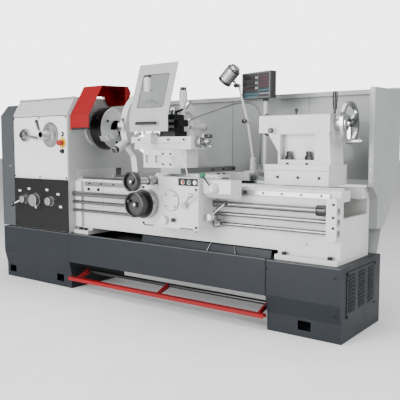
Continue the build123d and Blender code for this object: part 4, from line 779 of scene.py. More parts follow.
    def piece(self, name: str, body: str, finish: Finish, bevel: float = 0.0008,
              smooth: float = 35.0) -> bpy.types.Object:
        """Makes the mesh a piece that rides on a body.

        Args:
            name: the piece's name.
            body: the CAD body it rides on.
            finish: its finish.
            bevel: width of the eased edges, or 0.
            smooth: angle in degrees above which edges stay sharp.

        Returns:
            The piece.
        """
        bmesh.ops.recalc_face_normals(self.bm, faces=self.bm.faces)
        mesh = bpy.data.meshes.new(name)
        self.bm.to_mesh(mesh)
        self.bm.free()
        mesh.materials.append(finish.material())
        obj = bpy.data.objects.new(name, mesh)
        bpy.context.scene.collection.objects.link(obj)
        ease_edges(obj, bevel, smooth)
        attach(obj, body)
        log.info("piece %s rides on %s", name, body)
        return obj


def ease_edges(obj: bpy.types.Object, width: float, smooth: float = 35.0) -> None:
    """Smooths shallow angles and bevels sharp edges.

    Args:
        obj: the object.
        width: the bevel's width in metres, or 0 for none.
        smooth: angle in degrees above which edges stay sharp.
    """
    for polygon in obj.data.polygons:
        polygon.use_smooth = True
    if width:
        bevel = obj.modifiers.new("eased", "BEVEL")
        bevel.width = width
        bevel.segments = 2
        bevel.limit_method = "ANGLE"
        bevel.angle_limit = math.radians(smooth)
        bevel.harden_normals = False
        bevel.use_clamp_overlap = True
    obj.data.set_sharp_from_angle(angle=math.radians(smooth))


def tube(name: str, body: str, points: list[Vector], radius: float, finish: Finish,
         closed: bool = False) -> bpy.types.Object:
    """Makes a smooth round tube along control points.

    Args:
        name: the piece's name.
        body: the CAD body it rides on.
        points: control points of a NURBS spline.
        radius: the tube's radius.
        finish: its finish.
        closed: whether the ends join.

    Returns:
        The curve object.
    """
    curve = bpy.data.curves.new(name, "CURVE")
    curve.dimensions = "3D"
    curve.bevel_depth = radius
    curve.bevel_resolution = 4
    curve.resolution_u = 10
    curve.use_fill_caps = True
    spline = curve.splines.new("NURBS")
    spline.points.add(len(points) - 1)
    for point, place in zip(spline.points, points):
        point.co = (*place, 1)
    spline.use_cyclic_u = closed
    spline.order_u = 3
    spline.use_endpoint_u = not closed
    curve.materials.append(finish.material())
    obj = bpy.data.objects.new(name, curve)
    bpy.context.scene.collection.objects.link(obj)
    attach(obj, body)
    log.info("tube %s rides on %s", name, body)
    return obj


def dress(node: bpy.types.Object, finish: Finish, bevel: float = 0.002) -> None:
    """Gives a CAD node its finish and eased edges.

    Args:
        node: the CAD node.
        finish: its finish.
        bevel: width of its eased edges.
    """
    node.data.materials.clear()
    node.data.materials.append(finish.material())
    ease_edges(node, bevel, 32.0)


@dataclass
class Assembly:
    """A sub-assembly: it dresses its CAD nodes and adds its fine pieces.

    Attributes:
        nodes: the frame's CAD nodes by name.
    """

    nodes: dict[str, bpy.types.Object]

    FINISHES = {}

    def dress_nodes(self) -> None:
        """Gives each CAD node of the sub-assembly its finish."""
        for name, (finish, bevel) in self.FINISHES.items():
            dress(self.nodes[name], finish, bevel)

    def build(self) -> None:
        """Dresses the nodes, then adds the pieces."""
        self.dress_nodes()
        self.add_pieces()

    def add_pieces(self) -> None:
        """Adds the fine pieces. Each sub-assembly has its own."""


# ------------------------------------------------------------------ stand
@dataclass
class Stand(Assembly):
    """Sheet-steel stand with its chip tray and foot brake."""

    seam: float = 0.0016
    lug_pitch: float = 0.024

    FINISHES = {
        "left_cabinet": (Coat.BASE, 0.006), "right_cabinet": (Coat.BASE, 0.006),
        "front_panel": (Coat.BASE, 0.003), "louvre_cover": (Coat.BASE, 0.001),
        "chip_tray": (Coat.BASE, 0.001), "foot_brake": (Coat.TREAD, 0.002),
    }

    def add_pieces(self) -> None:
        """Adds seams, painted edge highlights, louvre blades, wire handles, tread lugs, a shaft sleeve and seat strips.
        """
        self._seams()
        self._louvres()
        self._handles()
        self._tread()
        self._splash_seat()

    def _seams(self) -> None:
        """Welded seams, the panel's flange screws and painted highlights along the top front edges."""
        left, right = Place.of("left_cabinet"), Place.of("right_cabinet")
        panel = Place.of("front_panel")
        seams = Mould()
        for box in (left, right):
            seams.block(Vector((box.mid.x, box.lo.y + 0.0006, box.lo.z + 0.207)),
                        Vector((box.size.x - 0.012, 0.002, self.seam)))
        for x in (panel.lo.x, panel.hi.x):
            seams.block(Vector((x, panel.lo.y + 0.0004, panel.mid.z)), Vector((self.seam, 0.0016, panel.size.z)))
        seams.piece("stand_seams", "frame", Coat.PLATE_DARK, 0)
        screws = Mould()
        for x in (right.hi.x - 0.03, right.lo.x + 0.03):
            for z in (right.lo.z + 0.15, right.hi.z - 0.05):
                screws.bolt(Vector((x, right.lo.y, z)), Axis.BACK_Y.value, 0.006)
        screws.piece("stand_screws", "frame", Coat.BLACKED, 0)
        # painted highlight: pale rods along the top front edges of both cabinets and the front panel stand in for light
        # on the top flanges
        edges = Mould()
        for box in (left, panel, right):
            edges.rod(Vector((box.lo.x + 0.001, box.lo.y + 0.0016, box.hi.z - 0.0012)),
                      Vector((box.hi.x - 0.001, box.lo.y + 0.0016, box.hi.z - 0.0012)), 0.0022)
        edges.piece("stand_edge_highlights", "frame", Coat.EDGE_HIGHLIGHT, 0)

    def _louvres(self) -> None:
        """Pressed blades over each slot of the right-hand cover."""
        box = Place.of("louvre_cover")
        blades = Mould()
        slot = (box.size.z - 0.04) / 10
        for column in range(3):
            y = box.lo.y + box.size.y * (column + 0.5) / 3
            for row in range(10):
                z = box.mid.z + (row - 4.5) * slot
                blades.block(Vector((box.hi.x + 0.002, y, z + 0.004)), Vector((0.0014, box.size.y * 0.235, 0.0115)),
                             Matrix.Rotation(math.radians(28), 3, "Y"))
        blades.piece("louvre_blades", "frame", Coat.BASE, 0.0004)

    def _handles(self) -> None:
        """Two bent-wire hooks on the tray's raised front lip."""
        box = Place.of("chip_tray")
        foot = box.lo.y + 0.002
        for number, (x, lean) in enumerate(((0.548, -0.014), (0.7245, 0.026))):
            points = [Vector((x, -0.199, 0.432)), Vector((x, -0.2015, 0.4478)), Vector((x, -0.208, 0.442)),
                      Vector((x + lean * 0.4, -0.222, 0.418)), Vector((x + lean, foot, 0.394))]
            tube(f"tray_handle_{number + 1}", "tray", points, 0.0022, Coat.STEEL)

    def _tread(self) -> None:
        """Raised diamond pattern on the brake's tread bar."""
        box = Place.of("foot_brake")
        tread_front, tread_top = box.lo.y, box.lo.z + 0.022
        lugs = Mould()
        count = int((box.size.x - 0.06) / self.lug_pitch)
        for i in range(count):
            x = box.lo.x + 0.03 + i * self.lug_pitch
            lean = Matrix.Rotation(math.radians(45 if i % 2 else -45), 3, "Z")
            face = Matrix.Rotation(math.radians(45 if i % 2 else -45), 3, "Y")
            for row in (0.010, 0.028):
                lugs.block(Vector((x, tread_front + row, tread_top)), Vector((0.013, 0.0035, 0.0022)), lean)
            lugs.block(Vector((x, tread_front, tread_top - 0.011)), Vector((0.012, 0.0020, 0.0035)), face)
        lugs.piece("tread_lugs", "brake", Coat.TREAD, 0.0005)
        Mould().rod(Vector((box.lo.x + 0.014, -0.150, 0.120)), Vector((box.hi.x - 0.014, -0.150, 0.120)), 0.0138).piece(
            "brake_shaft_sleeve", "brake", Coat.PHENOLIC, 0)

    def _splash_seat(self) -> None:
        """Rubber strip between each cabinet's top and what stands on it."""
        strips = Mould()
        for node in ("left_cabinet", "right_cabinet"):
            box = Place.of(node)
            strips.block(Vector((box.mid.x, box.lo.y + 0.012, box.hi.z + 0.0008)),
                Vector((box.size.x - 0.02, 0.008, 0.0016)))
        strips.piece("seat_strips", "frame", Coat.RUBBER, 0)


# ------------------------------------------------------------------ headstock
@dataclass
class Headstock(Assembly):
    """Headstock casing with its covers, face plates and controls."""

    FINISHES = {
        "headstock": (Coat.SHEET, 0.004), "headstock_lid": (Coat.CASTING, 0.002),
        "control_panel": (Coat.PLATE_WHITE, 0.001), "feed_gearbox": (Coat.SHEET, 0.003),
        "end_cover": (Coat.COVER, 0.004), "electric_cabinet": (Coat.SHEET, 0.003),
        "range_lever": (Coat.CHROME, 0.002), "speed_dial": (Coat.ALUMINIUM, 0.001),
        "emergency_stop": (Coat.STOP_RED, 0.002), "jog_button": (Coat.WHITE_CAP, 0.001),
        "reset_button": (Coat.PHENOLIC, 0.001), "feed_knob_left": (Coat.ALUMINIUM, 0.002),
        "feed_knob_middle": (Coat.ALUMINIUM, 0.002), "feed_knob_right": (Coat.ALUMINIUM, 0.002),
        "frame_screws": (Coat.BLACKED, 0.0008),
    }

    def add_pieces(self) -> None:
        """Adds printed tables, bezels, dials, knobs and door fittings."""
        self._tables()
        self._dials()
        self._buttons()
        self._feed_knobs()
        self._end_cover()
        self._cabinet_door()

    def _tables(self) -> None:
        """Blank printed tables and small labels on the face plates."""
        box = Place.of("control_panel")
        face = box.lo.y
        large = Mould()
        for low, high, base, top in ((0.06, 0.40, 0.10, 0.38), (0.46, 0.66, 0.60, 0.93), (0.46, 0.84, 0.10, 0.30)):
            lo, hi = box.at(low, 0, base), box.at(high, 0, top)
            large.block(Vector(((lo.x + hi.x) / 2, face - 0.0004, (lo.z + hi.z) / 2)),
                        Vector((hi.x - lo.x, 0.0012, hi.z - lo.z)))
        large.piece("speed_tables", "frame", Coat.PRINT, 0.0003)
        rim = Mould()
        for x in (box.lo.x + 0.004, box.hi.x - 0.004):
            rim.block(Vector((x, face - 0.0003, box.mid.z)), Vector((0.0018, 0.0012, box.size.z - 0.008)))
        for z in (box.lo.z + 0.004, box.hi.z - 0.004):
            rim.block(Vector((box.mid.x, face - 0.0003, z)), Vector((box.size.x - 0.008, 0.0012, 0.0018)))
        rim.block(Vector((box.mid.x, face - 0.0004, box.hi.z - 0.002)), Vector((box.size.x, 0.0014, 0.004)))
        lid = Place.of("headstock_lid")
        rim.block(Vector((lid.mid.x, lid.lo.y - 0.0002, lid.lo.z)), Vector((lid.size.x - 0.004, 0.0012, 0.003)))
        rim.piece("panel_border", "frame", Coat.PLATE_DARK, 0)
        gearbox = Place.of("feed_gearbox")
        Mould().block(Vector(((gearbox.lo.x + box.hi.x) / 2, gearbox.lo.y - 0.0004,
            (gearbox.lo.z + box.lo.z) / 2)), Vector((
            box.hi.x - gearbox.lo.x, 0.0012, box.lo.z - gearbox.lo.z - 0.004))).piece("gearbox_plate", "frame",
                Coat.PLATE_DARK, 0.0004)
        labels = Mould()
        for share, height in ((0.10, 0.62), (0.28, 0.66), (0.62, 0.66), (0.82, 0.60), (0.86, 0.40)):
            spot = gearbox.at(share, 0, height)
            labels.block(Vector((spot.x, gearbox.lo.y - 0.0012, spot.z)), Vector((0.030, 0.0010, 0.016)))
        labels.piece("gearbox_labels", "frame", Coat.PRINT_DARK, 0.0003)

    def _dials(self) -> None:
        """Scale ring and grip of the speed dial, hub cap and grip of the range lever."""
        face = Place.of("control_panel").lo.y
        dial = Place.of("speed_dial")
        centre = Vector((dial.hi.x - 0.065, face, dial.lo.z + 0.065))
        Mould().hoop(centre, Axis.Y.value, 0.081, [(-0.0012, -0.012), (-0.0012, 0.012), (0.0, 0.012),
            (0.0, -0.012)]).piece(
            "speed_scale", "frame", Coat.ALUMINIUM, 0.0003)
        Mould().ticks(centre + Vector((0, -0.015, 0)), Axis.Y.value, 0.0649, 48).piece(
            "speed_ticks", "speed_dial", Coat.PHENOLIC, 0)
        hub = centre + Vector((0, -0.028, 0))
        Mould().turned(hub, Axis.BACK_Y.value, [(0, 0.036), (0.02, 0.034), (0.045, 0.026), (0.062, 0.024)], 48,
            0.0012).piece(
            "speed_hub", "speed_dial", Coat.ALUMINIUM, 0.0004)
        tip = Vector((dial.lo.x + 0.036, dial.lo.y + 0.008, dial.hi.z - 0.006))
        root = Vector((centre.x - 0.010, dial.lo.y + 0.018, centre.z + 0.030))
        run = (tip - root).length
        Mould().turned(root, tip - root, [
            (0, 0.008), (run * 0.3, 0.0085), (run * 0.6, 0.0115), (run * 0.9, 0.0125), (run, 0.009)]).piece(
            "speed_grip", "speed_dial", Coat.PHENOLIC, 0.0005)
        lever = Place.of("range_lever")
        hub = Vector((lever.lo.x + 0.048, face - 0.048, lever.lo.z + 0.048))
        Mould().turned(hub, Axis.BACK_Y.value, [(-0.004, 0.023), (0.003, 0.022), (0.006, 0.016)], 36).piece(
            "range_hub_cap", "range_lever", Coat.PHENOLIC, 0.0005)
        end = Vector((lever.hi.x - 0.004, lever.lo.y + 0.013, hub.z - 0.0235))
        Mould().turned(end - Vector((0.075, -0.004, -0.010)), Vector((0.075, -0.004, -0.010)), [
            (0, 0.009), (0.02, 0.0115), (0.055, 0.0128), (0.07, 0.0115), (0.0762, 0.007)]).piece(
            "range_grip", "range_lever", Coat.CHROME, 0.0005)
        holes = Mould()
        for turn in range(3):
            arm = Vector((math.cos(turn * 2.09), 0, math.sin(turn * 2.09))) * 0.036
            holes.bolt(Vector((hub.x, face - 0.0238, hub.z)) + arm, Axis.BACK_Y.value, 0.005)
        holes.piece("range_hub_screws", "range_lever", Coat.BLACKED, 0)

    def _buttons(self) -> None:
        """Yellow disc under the stop button and bezels round the others."""
        face = Place.of("control_panel").lo.y
        stop = Place.of("emergency_stop").mid
        Mould().hoop(Vector((stop.x, face, stop.z)), Axis.Y.value, 0.026, [
            (-0.0018, -0.016), (-0.0018, 0.012), (0, 0.012), (0, -0.016)]).piece("stop_disc", "frame",
                Coat.YELLOW, 0.0003)
        bezels = Mould()
        for name in ("jog_button", "reset_button"):
            spot = Place.of(name).mid
            bezels.hoop(Vector((spot.x, face, spot.z)), Axis.Y.value, 0.0145, [
                (-0.006, -0.003), (-0.0065, 0.0), (-0.004, 0.003), (0, 0.004), (0, -0.003)])
        bezels.piece("button_bezels", "frame", Coat.BLACKED, 0)

    def _feed_knobs(self) -> None:
        """Knurled rims, engraved scales and the black grip of the feed selectors."""
        scale = Mould()
        face = Place.of("feed_gearbox").lo.y
        for name, body, radius in (("feed_knob_left", "knob_left", 0.027), ("feed_knob_middle", "knob_middle", 0.045),
                                   ("feed_knob_right", "knob_right", 0.030)):
            box = Place.of(name)
            centre = Vector((box.hi.x - radius - 0.005, 0, 0))
            centre.z = box.hi.z - radius - 0.005
            if name == "feed_knob_middle":
                centre.x = box.lo.x + radius + 0.005
            rim = Vector((centre.x, face - 0.0225, centre.z))
            Mould().turned(rim, Axis.BACK_Y.value, [(0, radius + 0.0012), (0.024, radius + 0.0012)], 96, 0.0014).piece(
                f"{name}_knurl", body, Coat.ALUMINIUM, 0)
            scale.ticks(Vector((centre.x, face - 0.0016, centre.z)), Axis.Y.value, radius + 0.013, 24, 0.001)
        scale.piece("feed_scales", "frame", Coat.WHITE_CAP, 0)
        left = Place.of("feed_knob_left")
        root = Vector((left.lo.x + 0.036, left.lo.y + 0.016, left.lo.z + 0.026))
        tip = Vector((left.lo.x + 0.012, left.lo.y + 0.012, left.lo.z + 0.014))
        Mould().turned(root, tip - root, [(0, 0.0095), (0.010, 0.0155), (0.024, 0.0165), (0.030, 0.011)]).piece(
            "feed_lever_grip", "knob_left", Coat.PHENOLIC, 0.0006)

    def _end_cover(self) -> None:
        """Lock, edge gasket and spindle hole rim of the gear cover."""
        box = Place.of("end_cover")
        Mould().turned(Vector((box.mid.x + 0.03, box.lo.y, box.mid.z)), Axis.BACK_Y.value, [
            (0, 0.011), (0.004, 0.011), (0.005, 0.008)], 32).piece("cover_lock", "gear_cover", Coat.CHROME, 0.0004)
        gasket = Mould()
        gasket.block(Vector((box.hi.x + 0.0012, box.lo.y + 0.006, box.mid.z - 0.03)),
            Vector((0.002, 0.006, box.size.z - 0.13)))
        gasket.piece("cover_gasket", "gear_cover", Coat.RUBBER, 0)
        ring = Place.of("spindle")
        Mould().hoop(Vector((box.lo.x, ring.mid.y, ring.mid.z)), Axis.X.value, 0.0655, [
            (-0.0006, 0), (-0.0006, 0.008), (0.004, 0.008), (0.004, 0)]).piece("cover_hole_rim", "gear_cover",
                Coat.RUBBER, 0)

    def _cabinet_door(self) -> None:
        """Hinges, lock and vent slots of the electric cabinet."""
        box = Place.of("electric_cabinet")
        fittings = Mould()
        for share in (0.15, 0.5, 0.85):
            spot = box.at(0.02, 1, share)
            fittings.rod(spot - Vector((0, 0.003, 0.03)), spot + Vector((0, -0.003, 0.03)), 0.005)
        fittings.turned(box.at(0.93, 1, 0.5) - Vector((0, 0.002, 0)), Axis.Y.value, [(0, 0.012), (0.004, 0.011)], 28)
        fittings.piece("cabinet_fittings", "frame", Coat.STEEL, 0.0004)
        vents = Mould()
        for row in range(8):
            spot = box.at(0.5, 1, 0.74 + row * 0.018)
            vents.block(spot - Vector((0, 0.001, 0)), Vector((0.16, 0.0024, 0.003)))
        vents.piece("cabinet_vents", "frame", Coat.PLATE_DARK, 0)


# ------------------------------------------------------------------ spindle, chuck and guard
@dataclass
class ChuckEnd(Assembly):
    """Spindle, three-jaw chuck and its guard."""

    FINISHES = {
        "spindle": (Coat.STEEL, 0.001), "chuck_body": (Coat.BLACKED, 0.001),
        "chuck_jaw_1": (Coat.FACE, 0.001), "chuck_jaw_2": (Coat.FACE, 0.001),
        "chuck_jaw_3": (Coat.FACE, 0.001), "chuck_guard": (Coat.RED, 0.001),
    }

    def add_pieces(self) -> None:
        """Adds the chuck's polished face, key sockets, jaw teeth and guard trim."""
        box = Place.of("chuck_body")
        centre = Vector((box.hi.x, box.mid.y, box.mid.z))
        rings = Mould()
        for radius in (0.150, 0.118, 0.086, 0.066):
            rings.hoop(centre, Axis.X.value, radius, [(-0.001, -0.0012), (0.0008, 0), (-0.001, 0.0012)], 96)
        rings.piece("chuck_face_rings", "spindle", Coat.BLACKED, 0)
        Mould().hoop(centre, Axis.X.value, 0.110, [
            (-0.0008, -0.052), (-0.0008, 0.0438), (0.0006, 0.0425), (0.0006, -0.052)], 96).piece(
            "chuck_face", "spindle", Coat.FACE, 0)
        sockets, screws = Mould(), Mould()
        for turn in range(3):
            angle = math.radians(60 + 120 * turn)
            out = Vector((0, math.sin(angle), math.cos(angle)))
            sockets.turned(Vector((box.mid.x, centre.y, centre.z)) + out * (box.size.z / 2 - 0.004), out, [
                (0, 0.013), (0.0048, 0.013), (0.0048, 0.008), (0.0005, 0.0075)], 24)
            screws.bolt(centre + out * 0.102, Axis.X.value, 0.009)
        sockets.piece("chuck_key_sockets", "spindle", Coat.STEEL, 0)
        screws.piece("chuck_screws", "spindle", Coat.BLACKED, 0)
        Mould().hoop(Vector((box.mid.x, centre.y, centre.z)), Axis.X.value, box.size.z / 2, [
            (-0.002, -0.001), (-0.002, 0.0006), (0.002, 0.0006), (0.002, -0.001)], 96).piece(
            "chuck_side_band", "spindle", Coat.BLACKED, 0)
        for turn in range(3):
            jaw = Place.of(f"chuck_jaw_{turn + 1}")
            angle = math.radians(120 * turn)
            out = Vector((0, -math.sin(angle), math.cos(angle)))
            across = Axis.X.value.cross(out)
            teeth = Mould()
            frame = Matrix((Axis.X.value, across, out)).transposed()
            for k in range(6):
                teeth.block(Vector((jaw.hi.x - 0.030, centre.y, centre.z)) + out * 0.0583 + across * (k - 2.5) * 0.007,
                            Vector((0.056, 0.0028, 0.0014)), frame)
            teeth.piece(f"jaw_{turn + 1}_teeth", f"jaw_{turn + 1}", Coat.STEEL, 0.0003)
        self._guard_trim()

    def _guard_trim(self) -> None:
        """Black bar under the guard's front lip and its hinge collar."""
        box = Place.of("chuck_guard")
        low = Vector((Place.of("headstock").hi.x + 0.004, box.lo.y + 0.003, box.lo.z + 0.004))
        Mould().rod(low, Vector((box.hi.x, low.y, low.z)), 0.008).piece("guard_bar", "chuck_guard", Coat.PHENOLIC, 0)
        top = box.hi.z
        Mould().slab([Vector((low.x + 0.002, y, z)) for y, z in (
            (box.lo.y + 0.134, top - 0.014), (0.146, top - 0.003), (0.170, top - 0.041), (0.158, top - 0.078),
            (0.122, top - 0.134), (0.106, top - 0.128), (0.060, top - 0.074), (box.lo.y + 0.098, top - 0.080))],
            Vector((0.0025, 0, 0))).piece("guard_wall", "chuck_guard", Coat.RED, 0.0003)
        pin = Place.of("headstock_lid")
        Mould().turned(Vector((box.lo.x - 0.003, 0.141, pin.hi.z - 0.018)), Axis.BACK_X.value, [
            (0, 0.013), (0.008, 0.013), (0.009, 0.011)], 32).piece("guard_collar", "chuck_guard", Coat.BLACKED, 0.0004)


# ------------------------------------------------------------------ bed and rods
@dataclass
class Bed(Assembly):
    """Bed casting, ways, rack and the three long rods."""

    thread_pitch: float = 0.010

    FINISHES = {
        "bed": (Coat.CASTING, 0.004), "end_bracket": (Coat.CASTING, 0.002),
        "leadscrew": (Coat.STEEL, 0.0), "feed_rod": (Coat.ROD, 0.0005),
        "control_rod": (Coat.ROD, 0.0005), "splash_guard": (Coat.SPLASH, 0.0006),
    }

    def add_pieces(self) -> None:
        """Adds ground ways, rack, thread, sleeve, gap seam and splash-guard fixings."""
        self._ways()
        self._rack()
        self._thread()
        self._gap_bridge()
        self._splash_fixings()

    def _ways(self) -> None:
        """Ground steel strips over the vee ridges and flats."""
        bed, head = Place.of("bed"), Place.of("headstock")
        start, end = head.hi.x + 0.001, bed.hi.x - 0.001
        top = bed.hi.z if bed.hi.z < 0.83 else 0.814
        flat = top - 0.014
        strips = Mould()
        for inner, outer in ((-0.140, -0.078), (0.091, 0.153)):
            strips.block(Vector(((start + end) / 2, (inner + outer) / 2, flat + 0.0003)),
                         Vector((end - start, outer - inner, 0.001)))
        strips.piece("way_flats", "frame", Coat.STEEL_X, 0)
        ridges = Mould()
        for y in (-0.157, 0.170):
            corners = [(-0.0168, flat), (0.0, top + 0.0007), (0.0168, flat)]
            rows = [[ridges.bm.verts.new((x, y + dy, z)) for dy, z in corners] for x in (start, end)]
            for i in range(2):
                ridges.bm.faces.new((rows[0][i], rows[0][i + 1], rows[1][i + 1], rows[1][i]))
            ridges.bm.faces.new((rows[0][2], rows[0][0], rows[1][0], rows[1][2]))
            for row in rows:
                ridges.bm.faces.new(row)
        ridges.piece("way_ridges", "frame", Coat.STEEL_X, 0)

    def _rack(self) -> None:
        """Rack strip under the front way with its teeth and screws."""
        bed, head = Place.of("bed"), Place.of("headstock")
        front = -0.191
        start, end = head.hi.x + 0.066, bed.hi.x - 0.06
        Mould().block(Vector(((start + end) / 2, front - 0.005, 0.770)), Vector((end - start, 0.010, 0.026))).piece(
            "rack_strip", "frame", Coat.STEEL_X, 0.0006)
        teeth = Mould()
        for i in range(int((end - start) / 0.0078)):
            teeth.block(Vector((start + 0.004 + i * 0.0078, front - 0.005, 0.7555)), Vector((0.0038, 0.0096, 0.004)))
        teeth.piece("rack_teeth", "frame", Coat.STEEL, 0)
        screws = Mould()
        for i in range(16):
            screws.bolt(Vector((start + 0.05 + i * (end - start - 0.1) / 15, front - 0.0100, 0.771)),
                Axis.BACK_Y.value, 0.0055)
        screws.piece("rack_screws", "frame", Coat.BLACKED, 0)

    def _thread(self) -> None:
        """Threaded leadscrew and its sleeve, in place of the plain rod."""
        box = Place.of("leadscrew")
        y, z = box.mid.y, box.mid.z
        crest, root = 0.017, 0.0145
        around, start, end = 14, box.lo.x + 0.08, box.hi.x - 0.13
        screw = Mould()
        turns = int((end - start) / self.thread_pitch)
        per_turn = 4
        shape = (root, crest, crest, root)
        rows = []
        for i in range(turns * per_turn):
            row = []
            for k in range(around):
                angle = math.tau * k / around
                x = start + (i / per_turn + k / around) * self.thread_pitch
                r = shape[i % per_turn]
                row.append(screw.bm.verts.new((x, y + r * math.cos(angle), z + r * math.sin(angle))))
            rows.append(row)
        for low, high in zip(rows, rows[1:]):
            for k in range(around - 1):
                screw.bm.faces.new((low[k], low[k + 1], high[k + 1], high[k]))
        for i in range(len(rows) - per_turn - 1):
            screw.bm.faces.new((rows[i][around - 1], rows[i + per_turn][0], rows[i + per_turn + 1][0],
                rows[i + 1][around - 1]))
        screw.turned(Vector((box.lo.x, y, z)), Axis.X.value, [(0, 0.0165), (0.001, 0.017), (0.084, 0.017),
            (0.0845, 0.0146),
                                                              (box.size.x - 0.124, 0.0146),
                                                                  (box.size.x - 0.1235, 0.017),
                                                              (box.size.x - 0.001, 0.017), (box.size.x, 0.0165)], 32)
        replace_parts(screw.piece("leadscrew_thread", "leadscrew", Coat.ROD, 0), "leadscrew")
        bracket = Place.of("end_bracket")
        Mould().turned(Vector((bracket.lo.x - 0.0635, y, z)), Axis.X.value, [
            (0, 0.022), (0.002, 0.029), (0.012, 0.030), (0.0125, 0.0275), (0.016, 0.0275), (0.0165, 0.030),
            (0.058, 0.030), (0.061, 0.027)], 48).piece("leadscrew_sleeve", "leadscrew", Coat.PHENOLIC, 0)
        caps = Mould()
        for node in ("leadscrew", "feed_rod", "control_rod"):
            rod = Place.of(node)
            caps.turned(Vector((bracket.hi.x - 0.001, rod.mid.y, rod.mid.z)), Axis.X.value, [
                (0, 0.021), (0.003, 0.021), (0.0045, 0.018)], 6)
        caps.piece("bracket_caps", "frame", Coat.STEEL, 0.0004)

    def _gap_bridge(self) -> None:
        """Seams and bolts of the removable gap bridge next to the headstock."""
        head = Place.of("headstock")
        seams, bolts = Mould(), Mould()
        x = head.hi.x + 0.245
        seams.block(Vector((x, -0.1914, 0.70)), Vector((0.0014, 0.0012, 0.20)))
        seams.block(Vector(((head.hi.x + x) / 2 + 0.03, -0.1914, 0.60)), Vector((x - head.hi.x - 0.06, 0.0012, 0.0014)))
        seams.piece("gap_seams", "frame", Coat.PLATE_DARK, 0)
        for offset, z in ((0.10, 0.73), (0.20, 0.73), (0.10, 0.63), (0.20, 0.63)):
            bolts.bolt(Vector((head.hi.x + offset, -0.191, z)), Axis.BACK_Y.value, 0.010)
        bolts.piece("gap_bolts", "frame", Coat.BLACKED, 0)
        oilers = Mould()
        for share in (0.3, 0.7):
            oilers.ball(Vector((head.hi.x + 1.9 * share + 0.5, -0.196, 0.50)), 0.006)
        oilers.piece("bed_oilers", "frame", Coat.CHROME, 0)

    def _splash_fixings(self) -> None:
        """Screws and joint seams of the splash guard."""
        box = Place.of("splash_guard")
        screws, seams = Mould(), Mould()
        back = box.hi.y - 0.003
        for share in (0.05, 0.35, 0.65, 0.95):
            for z in (box.hi.z - 0.06, box.lo.z + 0.46):
                screws.bolt(Vector((box.lo.x + box.size.x * share, back, z)), Axis.BACK_Y.value, 0.006)
        for z in (box.hi.z - 0.05, box.mid.z, box.lo.z + 0.42):
            screws.bolt(Vector((box.hi.x - 0.014, 0.124, z)), Axis.BACK_Y.value, 0.005)
        screws.piece("splash_screws", "frame", Coat.STEEL, 0)
        for share in (0.34, 0.67):
            seams.block(Vector((box.lo.x + box.size.x * share, back - 0.0006, (box.hi.z + 0.83) / 2)),
                        Vector((0.0016, 0.0016, box.hi.z - 0.86)))
        seams.piece("splash_seams", "frame", Coat.PLATE_DARK, 0)


